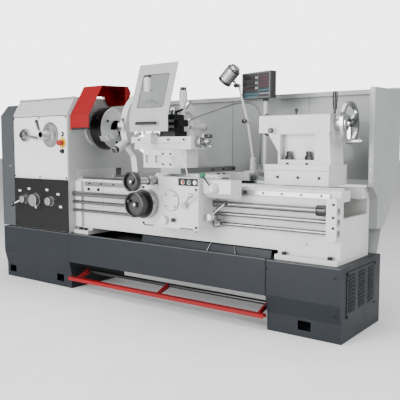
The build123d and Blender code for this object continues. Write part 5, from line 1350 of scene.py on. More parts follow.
# ------------------------------------------------------------------ carriage
@dataclass
class Carriage(Assembly):
    """Saddle, apron and the handwheels and levers on them."""

    FINISHES = {
        "saddle": (Coat.CASTING, 0.003), "apron": (Coat.CASTING, 0.003),
        "carriage_handwheel": (Coat.WHEEL, 0.002), "cross_handwheel": (Coat.WHEEL, 0.002),
        "half_nut_lever": (Coat.CHROME, 0.001), "joystick": (Coat.BLACKED, 0.001),
        "start_lever": (Coat.CHROME, 0.001), "follow_rest": (Coat.CASTING, 0.003),
        "rear_bracket": (Coat.CASTING, 0.002),
    }

    def add_pieces(self) -> None:
        """Adds knobs, dials, push buttons, wipers and screws."""
        self._knobs()
        self._wheel_details()
        self._button_plate()
        self._apron_face()
        self._wipers()
        self._follow_rest()

    def _knobs(self) -> None:
        """Ball knobs over the ends of the levers, and the joystick's boot."""
        for node, body, radius, finish, corner in (
                ("half_nut_lever", "half_nut", 0.0148, Coat.CHROME, (1, 0, 1)),
                ("start_lever", "start_lever", 0.0138, Coat.PHENOLIC, (1, 0, 1)),
                ("joystick", "joystick", 0.0178, Coat.GREEN, (0, 0, 1))):
            box = Place.of(node)
            solid = radius - 0.0008
            centre = Vector((box.hi.x - solid if corner[0] else box.lo.x + solid, 0, box.hi.z - solid))
            centre.y = {"half_nut_lever": box.lo.y + solid, "start_lever": -0.322, "joystick": -0.370}[node]
            Mould().ball(centre, radius).piece(f"{node}_ball", body, finish, 0)
        stick = Place.of("joystick")
        hub = Vector((stick.hi.x - 0.020, stick.lo.y + 0.006, stick.lo.z + 0.020))
        Mould().turned(hub, Axis.BACK_Y.value, [(-0.028, 0.030), (-0.022, 0.026), (-0.018, 0.028), (-0.012, 0.023),
                                                (-0.008, 0.025), (0.0, 0.018), (0.002, 0.010)], 36).piece(
            "joystick_boot", "joystick", Coat.CASTING, 0)
        lever = Place.of("start_lever")
        Mould().turned(Vector((lever.lo.x + 0.022, lever.lo.y + 0.004, 0.623)), Axis.BACK_Y.value, [
            (-0.03, 0.021), (-0.004, 0.0215), (0.003, 0.018)], 40, 0.001).piece(
            "start_lever_knob", "start_lever", Coat.CASTING, 0)

    def _wheel_details(self) -> None:
        """Graduated dials, hub caps and turning handles of the two front wheels."""
        for node, body, radius, hub, dial, drop, rings in (
                ("carriage_handwheel", "carriage_wheel", 0.088, 0.018, 0.0884, 0.118, (
                    (0.083, 0.014, 0.0880, Coat.CHROME), (0.098, 0.031, 0.0880, Coat.STEEL))),
                ("cross_handwheel", "cross_wheel", 0.058, 0.0175, 0.0274, 0.200, (
                    (0.156, 0.060, 0.0270, Coat.STEEL), (0.070, 0.084, 0.0200, Coat.CHROME)))):
            box = Place.of(node)
            centre = Vector((box.mid.x, box.lo.y, box.mid.z))
            Mould().turned(centre + Vector((0, 0.006, 0)), Axis.BACK_Y.value, [
                (-0.004, hub * 0.55), (0.002, hub * 0.55), (0.004, hub * 0.3)], 32).piece(f"{node}_cap", body,
                    Coat.CHROME, 0.0005)
            for part, (start, width, radius_over, finish) in enumerate(rings):
                Mould().hoop(centre + Vector((0, start, 0)), Axis.Y.value, radius_over, [
                    (0, -0.001), (0.001, 0.0008), (width - 0.001, 0.0008), (width, -0.001)], 96).piece(
                    f"{node}_ring_{part + 1}", body, finish, 0)
            Mould().ticks(centre + Vector((0, drop, 0)), Axis.Y.value, dial + 0.0006, 60).piece(
                f"{node}_marks", body, Coat.PHENOLIC, 0)
            side = Vector((-0.044, 0.002, 0.020)) if node == "carriage_handwheel" else Vector((0.030, 0.002, 0.016))
            Mould().turned(centre + side, Axis.Y.value, [
                (-0.0015, 0.006), (0.0, 0.0098), (0.010, 0.0105), (0.024, 0.0100)], 32).piece(
                f"{node}_handle", body, Coat.PHENOLIC, 0.0004)
            if node == "cross_handwheel":
                Mould().turned(centre + Vector((0, 0.035, 0)), Axis.Y.value, [
                    (0, 0.047), (0.014, 0.044), (0.034, 0.030), (0.040, 0.0205)], 64).piece(
                    "cross_dial", body, Coat.ALUMINIUM, 0)
            rim = radius if node == "cross_handwheel" else 0.077
            Mould().hoop(centre + Vector((0, 0.0045, 0)), Axis.Y.value, rim - 0.0055, [
                (0.0055 * math.cos(a), 0.0055 * math.sin(a)) for a in (k * math.tau / 10 for k in range(10))]).piece(
                f"{node}_rim", body, Coat.PHENOLIC, 0)

    def _button_plate(self) -> None:
        """Red, green and white push buttons on their plate above the apron."""
        box = Place.of("apron")
        face = box.lo.y + 0.002 + 0.024
        plate_x = (box.lo.x + 0.289, box.lo.x + 0.434)
        z = 0.8265
        Mould().block(Vector((sum(plate_x) / 2, face - 0.0008, z)),
            Vector((plate_x[1] - plate_x[0], 0.0018, 0.044))).piece(
            "button_plate", "carriage", Coat.PLATE_DARK, 0.0004)
        bezels = Mould()
        for share, finish, name in ((0.26, Coat.STOP_RED, "red"), (0.58, Coat.GREEN, "green"),
            (0.88, Coat.WHITE_CAP, "white")):
            spot = Vector((plate_x[0] + (plate_x[1] - plate_x[0]) * share, face - 0.0017, z))
            bezels.hoop(spot, Axis.Y.value, 0.0125, [(-0.004, -0.0025), (-0.0045, 0), (-0.003, 0.0025),
                (0, 0.003), (0, -0.0025)])
            Mould().turned(spot, Axis.BACK_Y.value, [(0, 0.0098), (0.006, 0.0098), (0.0078, 0.0085),
                (0.0086, 0.005)], 32).piece(
                f"push_{name}", "carriage", finish, 0)
        bezels.piece("push_bezels", "carriage", Coat.CHROME, 0)

    def _apron_face(self) -> None:
        """Cover screws, sight glass, small dials and the slots under the apron."""
        box = Place.of("apron")
        face = box.lo.y + 0.024
        cover = Vector((box.lo.x + 0.234, face - 0.005, 0.711))
        screws = Mould()
        for k in range(4):
            angle = math.radians(45 + 90 * k)
            screws.bolt(cover + Vector((math.cos(angle), 0, math.sin(angle))) * 0.048, Axis.BACK_Y.value, 0.0045)
        for x in (0.014, 0.424):
            for z in (0.562, 0.784):
                screws.bolt(Vector((box.lo.x + x, face, z)), Axis.BACK_Y.value, 0.007)
        screws.piece("apron_screws", "carriage", Coat.BLACKED, 0)
        Mould().hoop(cover + Vector((0, 0.0045, 0)), Axis.Y.value, 0.0605, [
            (-0.002, -0.001), (-0.002, 0.0022), (0.0006, 0.0022), (0.0006, -0.001)]).piece(
            "apron_cover_gasket", "carriage", Coat.PLATE_DARK, 0)
        Mould().turned(cover, Axis.BACK_Y.value, [(0, 0.03), (0.002, 0.03), (0.003, 0.026), (0.002, 0.012)], 40).piece(
            "apron_cover_cap", "carriage", Coat.CASTING, 0)
        Mould().turned(Vector((box.lo.x + 0.187, box.lo.y + 0.004, 0.592)), Axis.BACK_Y.value, [
            (-0.018, 0.027), (0.0, 0.0265), (0.003, 0.022)], 60, 0.0012).piece("feed_selector", "carriage",
                Coat.ALUMINIUM, 0)
        Mould().turned(Vector((box.lo.x + 0.261, face, 0.597)), Axis.BACK_Y.value, [
            (0, 0.008), (0.008, 0.008), (0.010, 0.013), (0.020, 0.0135), (0.023, 0.010)], 32).piece(
            "apron_knob_right", "carriage", Coat.PHENOLIC, 0)
        Mould().turned(Vector((box.lo.x + 0.156, face, 0.584)), Axis.BACK_Y.value, [
            (0, 0.007), (0.010, 0.007), (0.012, 0.011), (0.022, 0.0115), (0.0235, 0.009)], 32).piece(
            "apron_knob_left", "carriage", Coat.CASTING, 0)
        Mould().turned(Vector((box.lo.x + 0.045, face, 0.770)), Axis.BACK_Y.value, [
            (0, 0.014), (0.004, 0.014), (0.0045, 0.010), (0.003, 0.009)], 32).piece("sight_glass", "carriage",
                Coat.LENS, 0)
        slots = Mould()
        for low, high in ((0.012, 0.094), (0.302, 0.400)):
            slots.block(Vector((box.lo.x + (low + high) / 2, face - 0.0002, 0.5505)),
                Vector((high - low, 0.001, 0.006)))
        slots.piece("apron_slots", "carriage", Coat.PLATE_DARK, 0)

    def _wipers(self) -> None:
        """Way wipers at the four ends of the saddle's wings, and the gib screws."""
        box = Place.of("saddle")
        rubbers, plates, screws = Mould(), Mould(), Mould()
        for x, out in ((box.lo.x + 0.001, -1), (box.hi.x - 0.001, 1)):
            for y in (-0.157, 0.170):
                rubbers.block(Vector((x + out * 0.0015, y, box.lo.z + 0.033)), Vector((0.005, 0.066, 0.030)))
                plates.block(Vector((x + out * 0.0045, y, box.lo.z + 0.036)), Vector((0.002, 0.060, 0.020)))
                for dy in (-0.02, 0.02):
                    screws.bolt(Vector((x + out * 0.0055, y + dy, box.lo.z + 0.036)), Vector((out, 0, 0)), 0.004)
        rubbers.piece("way_wipers", "carriage", Coat.RUBBER, 0)
        plates.piece("wiper_plates", "carriage", Coat.STEEL, 0.0003)
        for share in (0.06, 0.16, 0.86, 0.95):
            for y in (-0.13, 0.2):
                screws.bolt(Vector((box.lo.x + box.size.x * share, y, 0.8645)), Axis.Z.value, 0.008)
        screws.piece("saddle_screws", "carriage", Coat.BLACKED, 0)

    def _follow_rest(self) -> None:
        """Knurled knobs and lock screws of the follow rest."""
        box = Place.of("follow_rest")
        caps = Mould()
        x, y, z = box.mid.x, 0.006, 1.165
        caps.turned(Vector((x, y, box.hi.z - 0.026)), Axis.Z.value,
            [(0, 0.0215), (0.022, 0.0215), (0.026, 0.018)], 48, 0.0012)
        caps.turned(Vector((x, box.hi.y - 0.022, z)), Axis.Y.value,
            [(0, 0.0215), (0.018, 0.0215), (0.022, 0.018)], 48, 0.0012)
        caps.piece("follow_knobs", "carriage", Coat.PHENOLIC, 0)
        pads = Mould()
        pads.turned(Vector((x, y, z + 0.055)), Axis.Z.value, [(0, 0.009), (0.004, 0.0135), (0.018, 0.0135)], 24)
        pads.turned(Vector((x, y + 0.055, z)), Axis.Y.value, [(0, 0.009), (0.004, 0.0135), (0.018, 0.0135)], 24)
        for dy in (0.03, 0.095):
            pads.bolt(Vector((x, 0.114 + dy, 0.8825)), Axis.Z.value, 0.010)
        pads.piece("follow_pads", "carriage", Coat.STEEL, 0)


# ------------------------------------------------------------------ slides and tool post
@dataclass
class Slides(Assembly):
    """Cross slide, compound, tool post and chip shield."""

    FINISHES = {
        "cross_slide": (Coat.IRON, 0.002), "compound_base": (Coat.CASTING, 0.003),
        "swivel_slide": (Coat.CASTING, 0.002), "top_slide": (Coat.CASTING, 0.002),
        "compound_crank": (Coat.CHROME, 0.0015), "tool_post": (Coat.BLACKED, 0.002),
        "chip_shield": (Coat.SHIELD, 0.001),
    }

    def add_pieces(self) -> None:
        """Adds the tool post's screws and lever, crank grips, dial and the shield's window."""
        self._tool_post()
        self._crank()
        self._shield()
        self._slide_screws()

    def _tool_post(self) -> None:
        """Square-head clamp screws, a tool bit and the lever's chrome grip."""
        box = Place.of("tool_post")
        slide = Place.of("top_slide")
        centre = Vector((box.lo.x + 0.0605, (slide.lo.y + 0.036 + slide.hi.y) / 2, 1.233))
        screws = Mould()
        for dx in (-0.036, -0.012, 0.012, 0.036):
            for dy in (-0.036, 0.036):
                spot = centre + Vector((dx, dy, 0))
                screws.turned(spot, Axis.Z.value, [(0, 0.0055), (0.014, 0.0055)], 16)
                screws.block(spot + Vector((0, 0, 0.020)), Vector((0.009, 0.009, 0.013)))
        screws.piece("tool_screws", "tool_post", Coat.STEEL, 0.0005)
        Mould().turned(centre + Vector((0, 0, 0.018)), Axis.Z.value, [
            (0, 0.026), (0.014, 0.024), (0.024, 0.014), (0.028, 0.008)], 40).piece("post_nut", "tool_post",
                Coat.CHROME, 0)
        tip = Vector((box.hi.x - 0.004, centre.y + 0.008, box.hi.z - 0.006))
        root = centre + Vector((0.086, 0.006, 0.030))
        run = (tip - root).length
        Mould().turned(root, tip - root, [(0, 0.0075), (run * 0.4, 0.0105), (run * 0.85, 0.0115), (run, 0.007)]).piece(
            "post_grip", "tool_post", Coat.CHROME, 0)
        slots = Mould()
        for dz in (-0.040, -0.075):
            slots.block(centre + Vector((0, -0.0475, dz)), Vector((0.094, 0.003, 0.014)))
        slots.piece("post_slots", "tool_post", Coat.STEEL_X, 0.0004)
        Mould().block(centre + Vector((-0.062, 0.036, -0.045)), Vector((0.060, 0.020, 0.020))).piece(
            "tool_bit", "tool_post", Coat.STEEL_X, 0.001)

    def _crank(self) -> None:
        """Dial and grips of the compound's ball crank."""
        box = Place.of("compound_crank")
        slide = Place.of("top_slide")
        y, z = (slide.lo.y + 0.036 + slide.hi.y) / 2, box.mid.z
        Mould().ticks(Vector((slide.hi.x + 0.014, y, z)), Axis.X.value, 0.0343, 50).piece("compound_marks",
            "crank", Coat.PHENOLIC, 0)
        Mould().turned(Vector((slide.hi.x + 0.030, y, z)), Axis.X.value, [(0, 0.0352), (0.014, 0.0352)], 96,
            0.0012).piece(
            "compound_knurl", "crank", Coat.STEEL, 0)
        arm = slide.hi.x + 0.072
        Mould().ball(Vector((arm, y - 0.034, z + 0.030)), 0.0125).ball(Vector((arm, y + 0.034, z - 0.030)),
            0.0120).ball(
            Vector((arm, y, z)), 0.0165).piece("crank_balls", "crank", Coat.CHROME, 0)
        Mould().turned(Vector((arm + 0.010, y - 0.034, z + 0.030)), Axis.X.value, [
            (0, 0.008), (0.006, 0.0118), (0.030, 0.0122), (0.044, 0.0115), (0.0462, 0.008)], 32).piece(
            "crank_grip", "crank", Coat.PHENOLIC, 0)

    def _shield(self) -> None:
        """Clear window, its gasket, and the black handle of the chip shield."""
        box = Place.of("chip_shield")
        foot = Vector((box.mid.x, -0.336, 1.226))
        top = Vector((box.mid.x, -0.231, box.hi.z))
        lean = (top - foot).normalized()
        middle = foot + lean * (top - foot).length * 0.47
        frame = Matrix((Axis.X.value, lean, Axis.X.value.cross(lean))).transposed()
        wide, high = box.size.x - 0.10, (top - foot).length - 0.12
        inward = Axis.X.value.cross(lean)
        sheet = middle - inward * 0.0042
        Mould().block(sheet, Vector((wide + 0.02, high + 0.02, 0.0022)), frame).piece("shield_window",
            "chip_shield", Coat.CLEAR, 0)
        gasket = Mould()
        for sign in (-1, 1):
            gasket.block(middle + inward * 0.0012 + lean * sign * (high / 2), Vector((wide, 0.006, 0.003)), frame)
            gasket.block(middle + inward * 0.0012 + Axis.X.value * sign * (wide / 2),
                Vector((0.006, high, 0.003)), frame)
        gasket.piece("shield_gasket", "chip_shield", Coat.RUBBER, 0)
        Mould().rod(Vector((box.lo.x + 0.079, -0.364, 1.178)), Vector((box.lo.x + 0.241, -0.364, 1.178)), 0.0098).piece(
            "shield_handle", "chip_shield", Coat.PHENOLIC, 0)

    def _slide_screws(self) -> None:
        """Gib screws and fixing screws of the slides."""
        base, slide = Place.of("compound_base"), Place.of("top_slide")
        screws = Mould()
        for share in (0.15, 0.4, 0.65, 0.9):
            screws.bolt(Vector((slide.lo.x + slide.size.x * share, slide.lo.y + 0.036 + 0.007, 1.077)),
                Axis.BACK_Y.value, 0.006)
        screws.piece("top_slide_screws", "top_slide", Coat.BLACKED, 0)
        fixings = Mould()
        for share in (0.55, 0.75):
            for z in (0.925, 0.99):
                fixings.bolt(Vector((base.lo.x + base.size.x * share, base.lo.y, z)), Axis.BACK_Y.value, 0.006)
        fixings.piece("compound_screws", "cross_slide", Coat.BLACKED, 0)
        wings = Mould()
        cross = Place.of("cross_slide")
        for share in (0.55, 0.75, 0.95):
            wings.bolt(Vector((cross.hi.x, cross.lo.y + cross.size.y * share, 0.884)), Axis.X.value, 0.006)
        wings.piece("cross_slide_screws", "cross_slide", Coat.BLACKED, 0)


# ------------------------------------------------------------------ steady rest
@dataclass
class SteadyRest(Assembly):
    """Steady rest standing on the ways."""

    FINISHES = {"steady_base": (Coat.CASTING, 0.003), "steady_top": (Coat.CASTING, 0.003)}

    def add_pieces(self) -> None:
        """Adds knurled knobs, jaw pads, lock screws and the latch knob."""
        box = Place.of("steady_top")
        x, y, z = box.mid.x, 0.006, 1.165
        for name, body, angles in (("steady_base", "steady", (205.0, -25.0)), ("steady_top", "steady_top", (90.0,))):
            knobs, pads, locks = Mould(), Mould(), Mould()
            for angle in angles:
                ray = Vector((0, math.cos(math.radians(angle)), math.sin(math.radians(angle))))
                hub = Vector((x, y, z))
                knobs.turned(hub + ray * 0.345, ray, [(0, 0.0252), (0.024, 0.0252), (0.0292, 0.020)], 56, 0.0014)
                pads.turned(hub + ray * 0.088, ray, [(0, 0.008), (0.006, 0.0145), (0.022, 0.0145)], 28)
                side = Axis.X.value
                locks.turned(hub + ray * 0.262 + side * 0.026, side, [(0, 0.009), (0.010, 0.009), (0.012, 0.007)], 6)
            knobs.piece(f"{name}_knobs", body, Coat.PHENOLIC, 0)
            pads.piece(f"{name}_pads", body, Coat.STEEL, 0)
            locks.piece(f"{name}_locks", body, Coat.STEEL, 0.0004)
        latch = Place.of("steady_base")
        Mould().turned(Vector((x, -0.294, z - 0.013)), Axis.BACK_Y.value,
            [(-0.018, 0.0128), (0.0, 0.0128), (0.0035, 0.010)], 40, 0.001).piece(
            "latch_knurl", "steady", Coat.PHENOLIC, 0)
        Mould().turned(Vector((x, -0.255, z + 0.040)), Axis.Z.value,
            [(0, 0.0118), (0.016, 0.0118), (0.0185, 0.009)], 40, 0.001).piece(
            "latch_nut", "steady_top", Coat.PHENOLIC, 0)
        clamps = Mould()
        for yy in (-0.13, 0.14):
            clamps.bolt(Vector((x + 0.030, yy, latch.lo.z + 0.042)), Axis.Z.value, 0.010, False)
        clamps.piece("steady_bolts", "steady", Coat.STEEL, 0.0004)


# ------------------------------------------------------------------ tailstock
@dataclass
class Tailstock(Assembly):
    """Tailstock with its quill, handwheel and clamp."""

    FINISHES = {
        "tailstock": (Coat.CASTING, 0.004), "quill": (Coat.STEEL_X, 0.001),
        "tailstock_handwheel": (Coat.CHROME, 0.003), "clamp_lever": (Coat.PHENOLIC, 0.001),
    }

    def add_pieces(self) -> None:
        """Adds base seam, clamp bolts, wheel grip, lock levers and scale."""
        box, wheel, lever = Place.of("tailstock"), Place.of("tailstock_handwheel"), Place.of("clamp_lever")
        seam = Mould()
        base_x = (box.lo.x + 0.059, box.hi.x)
        seam.block(Vector((sum(base_x) / 2, -0.1162, box.lo.z + 0.084)),
            Vector((base_x[1] - base_x[0] - 0.01, 0.0012, 0.0016)))
        seam.block(Vector((base_x[0] - 0.0002, 0.006, box.lo.z + 0.084)), Vector((0.0012, 0.20, 0.0016)))
        seam.piece("tailstock_seam", "tailstock", Coat.PLATE_DARK, 0)
        bolts = Mould()
        for x in (1.000, 1.124):
            bolts.turned(Vector((x, -0.058, 0.9325)), Axis.Z.value, [
                (0, 0.027), (0.010, 0.027), (0.011, 0.0225), (0.048, 0.0225), (0.050, 0.015), (0.074, 0.015),
                    (0.076, 0.012)], 6)
        bolts.piece("clamp_bolts", "tailstock", Coat.PHENOLIC, 0.0006)
        Mould().turned(Vector((0.904, box.lo.y + 0.004, 1.127)), Axis.BACK_Y.value, [
            (-0.012, 0.0158), (0.0, 0.0158), (0.003, 0.012)], 40, 0.001).piece("quill_lock", "tailstock",
                Coat.PHENOLIC, 0)
        screws = Mould()
        for x in (0.96, 1.09, 1.22):
            screws.bolt(Vector((x, -0.116, box.lo.z + 0.045)), Axis.BACK_Y.value, 0.008)
        for dy in (-0.035, 0.035):
            screws.bolt(Vector((box.hi.x - 0.006, 0.006 + dy, 1.205)), Axis.Z.value, 0.004)
        screws.piece("tailstock_screws", "tailstock", Coat.BLACKED, 0)
        Mould().hoop(Vector((box.lo.x, 0.006, 1.165)), Axis.X.value, 0.0455, [
            (-0.0012, 0.0), (-0.0012, 0.018), (0.002, 0.022), (0.002, 0.0)]).piece("barrel_ring", "tailstock",
                Coat.STEEL, 0)
        self._wheel(wheel)
        root = Vector((lever.mid.x, lever.hi.y - 0.012, lever.lo.z + 0.128))
        tip = Vector((lever.mid.x + 0.001, lever.hi.y - 0.012, lever.hi.z - 0.002))
        run = (tip - root).length
        Mould().turned(root, tip - root, [(0, 0.0125), (0.02, 0.0128), (run * 0.7, 0.0150), (run * 0.95, 0.0135),
            (run, 0.0095)]).piece(
            "clamp_grip", "clamp_lever", Coat.PHENOLIC, 0)
        Mould().rod(Vector((1.029, -0.030, 1.212)), Vector((1.029, -0.030, 1.238)), 0.006).ball(
            Vector((1.029, -0.030, 1.244)), 0.010).piece("barrel_oiler", "tailstock", Coat.PHENOLIC, 0)

    def _wheel(self, wheel: Place) -> None:
        """Round rim, hub cap and turning handle of the handwheel.

        Args:
            wheel: corners of the handwheel's CAD node.
        """
        rim_x = 1.339
        centre = Vector((rim_x, 0.006, 1.165))
        Mould().hoop(centre, Axis.X.value, 0.107, [
            (0.0105 * math.cos(a), 0.0108 * math.sin(a)) for a in (k * math.tau / 14 for k in range(14))], 72).piece(
            "wheel_rim", "tail_wheel", Coat.CHROME, 0)
        Mould().turned(centre + Vector((0.008, 0, 0)), Axis.X.value,
            [(0, 0.024), (0.014, 0.024), (0.019, 0.018)], 36).piece(
            "wheel_cap", "tail_wheel", Coat.PHENOLIC, 0)
        Mould().turned(Vector((1.264 + 0.004, 0.006, 1.165)), Axis.X.value, [(0, 0.0448), (0.030, 0.0448)], 96,
            0.0014).piece(
            "wheel_dial", "tail_wheel", Coat.STEEL, 0)
        Mould().turned(Vector((rim_x + 0.008, -0.024, 1.064)), Axis.X.value, [
            (0, 0.007), (0.008, 0.010), (0.05, 0.0122), (0.068, 0.011), (wheel.hi.x - rim_x - 0.0085, 0.007)],
                32).piece(
            "wheel_handle", "tail_wheel", Coat.CHROME, 0)


# ------------------------------------------------------------------ lamp, readout, hose and cable
@dataclass
class Attachments(Assembly):
    """Lamp, digital readout, coolant hose and button cable."""

    FINISHES = {
        "lamp_arm": (Coat.CASTING, 0.001), "lamp_head": (Coat.ALUMINIUM, 0.001),
        "readout": (Coat.HOUSING, 0.003),
    }

    HOSE_POINTS = (
        (0.582, 0.312, 0.8995), (0.584, 0.313, 0.9845), (0.583, 0.311, 1.0795), (0.586, 0.313, 1.1745),
        (0.578, 0.313, 1.2565), (0.544, 0.308, 1.3115), (0.478, 0.298, 1.3335), (0.404, 0.264, 1.3245),
        (0.334, 0.206, 1.2935), (0.282, 0.126, 1.2595), (0.246, 0.044, 1.2285), (0.224, -0.020, 1.2045),
    )
    CABLE_POINTS = (
        (0.322, -0.310, 0.960), (0.348, -0.330, 0.975), (0.380, -0.344, 0.985), (0.414, -0.351, 0.983),
        (0.444, -0.357, 0.964), (0.468, -0.363, 0.934), (0.487, -0.368, 0.903), (0.498, -0.372, 0.876),
        (0.502, -0.374, 0.854),
    )

    def add_pieces(self) -> None:
        """Adds the lamp's fins and lens, the readout's face, the hose and the cable."""
        self._cords()
        self._lamp()
        self._readout()

    def _cords(self) -> None:
        """Coolant hose with its nozzle and collar, and the cable to the push buttons."""
        for name, node, points, diameter, finish in (
                ("coolant_line", "coolant_hose", self.HOSE_POINTS, 0.013, Coat.HOSE),
                ("button_lead", "button_cable", self.CABLE_POINTS, 0.006, Coat.CABLE)):
            line = tube(name, "carriage", [Vector(p) for p in points], diameter / 2, finish)
            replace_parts(line, node)
            if node == "coolant_hose":
                start, end = Vector(points[-1]), Vector(points[-2])
                Mould().turned(start + (end - start) * 0.3, start - end, [
                    (0, 0.0085), (0.012, 0.0085), (0.014, 0.0075), (0.022, 0.006)], 28).piece(
                    "hose_nozzle", "carriage", Coat.CHROME, 0)
        Mould().turned(Vector(self.HOSE_POINTS[0]) - Vector((0, 0, 0.002)), Axis.Z.value, [
            (0, 0.012), (0.010, 0.012), (0.013, 0.0088), (0.020, 0.0082)], 6).piece("hose_union", "carriage",
                Coat.STEEL, 0.0004)

    def _lamp(self) -> None:
        """Cooling fins, rims, lens and joint knobs of the lamp."""
        head, arm = Place.of("lamp_head"), Place.of("lamp_arm")
        aim = Vector((-0.72, 0, -0.69)).normalized()
        neck = Vector((0.457, 0.240, 1.4355))
        centre = neck + Vector((-0.052, -0.046, 0.062))
        fins = Mould()
        for k in range(7):
            fins.turned(centre - aim * (0.052 - k * 0.0095), aim, [(0, 0.0478), (0.0032, 0.0478)], 56)
        fins.piece("lamp_fins", "lamp_head", Coat.ALUMINIUM, 0.0003)
        Mould().hoop(centre + aim * 0.040, aim, 0.0425, [(-0.010, -0.001), (-0.010, 0.0052), (0.008, 0.0052),
            (0.008, -0.001)]).hoop(
            centre - aim * 0.060, aim, 0.040, [(-0.004, -0.004), (-0.004, 0.006), (0.004, 0.007),
                (0.004, -0.004)]).piece(
            "lamp_rims", "lamp_head", Coat.PHENOLIC, 0.0004)
        Mould().turned(centre + aim * 0.034, aim, [(0, 0.0385), (0.006, 0.0385), (0.009, 0.030)], 48).piece(
            "lamp_lens", "lamp_head", Coat.LENS, 0)
        Mould().turned(Vector((neck.x, 0.206, neck.z)), Axis.BACK_Y.value,
            [(-0.003, 0.008), (0.002, 0.0145), (0.010, 0.0145), (0.0125, 0.011)], 40, 0.001).piece(
            "lamp_neck_knob", "lamp_head", Coat.PHENOLIC, 0)
        elbow = Vector((arm.hi.x - 0.020 - 0.047, 0.210, arm.hi.z - 0.248))
        Mould().turned(Vector((0.527, 0.212, 1.2015)), Axis.BACK_Y.value,
            [(-0.003, 0.0135), (0.010, 0.0155), (0.020, 0.0155), (0.022, 0.012)], 40, 0.001).piece(
            "lamp_elbow_knob", "lamp_arm", Coat.PHENOLIC, 0)
        log.info("lamp from %s to %s, elbow near %s", head.lo, head.hi, elbow)

    def _readout(self) -> None:
        """Bezel, window, keypad and keys on the readout's face."""
        turn = Matrix.Rotation(math.radians(-14), 3, "Z")
        centre = Vector((0.594, 0.274, 1.433))
        front = -0.029

        def panel(mould: Mould, x: float, z: float, wide: float, high: float, proud: float,
            deep: float = 0.003) -> None:
            """Adds a plate on the readout's face, by its middle in the face's own x and z."""
            spot = centre + turn @ Vector((x, front - proud + deep / 2, z))
            mould.block(spot, Vector((wide, deep, high)), turn)

        bezel = Mould()
        for x, z, wide, high in ((0, 0.080, 0.250, 0.010), (0, -0.080, 0.250, 0.010), (-0.125, 0, 0.009, 0.166),
                                 (0.125, 0, 0.009, 0.166), (0.022, 0, 0.004, 0.15)):
            panel(bezel, x, z, wide, high, 0.004, 0.006)
        bezel.piece("readout_bezel", "readout", Coat.BEZEL, 0.0012)
        windows, keypad, cyan, pale = Mould(), Mould(), Mould(), Mould()
        for row in range(3):
            panel(windows, -0.062, 0.050 - row * 0.034, 0.098, 0.024, 0.001, 0.002)
            for side in range(2):
                panel(pale, -0.001 + side * 0.012, 0.050 - row * 0.034, 0.009, 0.014, 0.0024)
        for column in range(5):
            for row in range(4):
                panel(keypad, 0.038 + column * 0.0185, 0.054 - row * 0.0195, 0.0115, 0.0110, 0.0028)
        for column in range(8):
            for row in range(2):
                panel(cyan, -0.104 + column * 0.0168, -0.054 - row * 0.0165, 0.0105, 0.0095, 0.0026)
        for column in range(5):
            panel(cyan, 0.038 + column * 0.0185, -0.034, 0.0115, 0.0095, 0.0026)
            panel(pale, 0.038 + column * 0.0185, -0.056, 0.0115, 0.0095, 0.0026)
        windows.piece("readout_windows", "readout", Coat.SCREEN, 0.0003)
        keypad.piece("readout_keypad", "readout", Coat.KEYPAD, 0.0008)
        cyan.piece("readout_keys_cyan", "readout", Coat.KEY_CYAN, 0.0008)
        pale.piece("readout_keys_pale", "readout", Coat.KEY_PALE, 0.0008)


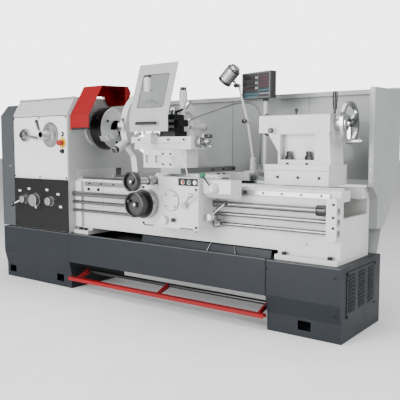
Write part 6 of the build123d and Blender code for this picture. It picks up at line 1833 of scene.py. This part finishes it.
# ------------------------------------------------------------------ studio
@dataclass
class Studio:
    """Pale floor, soft lights and the camera."""

    camera_at: tuple[float, float, float] = (2.6485, -3.1156, 1.0388)
    turn: float = 36.614
    tilt: float = 5.059
    lens: float = 53.33
    shift: tuple[float, float] = (-0.00625, -0.00425)

    def build(self) -> None:
        """Builds floor, lights, world and camera."""
        self._floor()
        self._world()
        self._lamp("key", (-0.9, -5.2, 2.0), (0.0, 0.0, 0.8), 4.0, 560)
        self._lamp("fill", (5.2, -1.0, 2.0), (0.6, 0.0, 0.8), 3.0, 200)
        self._lamp("top", (0.0, 0.2, 5.2), (0.0, 0.0, 0.0), 5.0, 230)
        self._camera()

    def _floor(self) -> None:
        """Large floor with a matt pale finish."""
        mesh = bpy.data.meshes.new("floor")
        mesh.from_pydata([(-40, -40, 0), (40, -40, 0), (40, 40, 0), (-40, 40, 0)], [], [(0, 1, 2, 3)])
        mesh.materials.append(Coat.FLOOR.material())
        floor = bpy.data.objects.new("floor", mesh)
        bpy.context.scene.collection.objects.link(floor)
        floor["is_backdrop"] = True

    def _world(self) -> None:
        """Even white surroundings."""
        world = bpy.data.worlds.new("studio")
        world.use_nodes = True
        backdrop = world.node_tree.nodes["Background"]
        backdrop.inputs["Color"].default_value = (1.0, 1.0, 1.0, 1)
        graph = Graph(world.node_tree)
        seen = graph.add("ShaderNodeLightPath").outputs["Is Camera Ray"]
        graph.join(graph.maths("ADD", graph.maths("MULTIPLY", seen, 3.6), 0.55), backdrop.inputs["Strength"])
        bpy.context.scene.world = world

    def _lamp(self, name: str, at: tuple[float, float, float], target: tuple[float, float, float],
              size: float, power: float) -> None:
        """Adds one soft area light.

        Args:
            name: the light's name.
            at: where it stands.
            target: what it points at.
            size: edge of its square.
            power: its power in watts.
        """
        data = bpy.data.lights.new(name, "AREA")
        data.size = size
        data.energy = power
        light = bpy.data.objects.new(name, data)
        light.location = at
        light.rotation_euler = (Vector(target) - Vector(at)).to_track_quat("-Z", "Y").to_euler()
        bpy.context.scene.collection.objects.link(light)

    def _camera(self) -> None:
        """Adds the camera."""
        data = bpy.data.cameras.new("camera")
        data.lens = self.lens
        data.sensor_width = 36.0
        data.shift_x, data.shift_y = self.shift
        data.clip_end = 200
        camera = bpy.data.objects.new("camera", data)
        camera.location = self.camera_at
        camera.rotation_euler = (math.radians(90 - self.tilt), 0, math.radians(self.turn))
        bpy.context.scene.collection.objects.link(camera)
        bpy.context.scene.camera = camera


def corners() -> list[list[float]]:
    """The shown object's lowest and highest corners as plain lists."""
    return [list(corner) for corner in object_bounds()]


def main() -> None:
    """Builds the lathe's looks around the frame."""
    logging.basicConfig(level=logging.INFO, format="%(message)s")
    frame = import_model()
    Studio().build()
    for part in (Attachments, Stand, Headstock, ChuckEnd, Bed, Carriage, Slides, SteadyRest, Tailstock):
        part(frame["nodes"]).build()
        log.info("built %s", part.__name__)


if __name__ == "__main__":
    main()
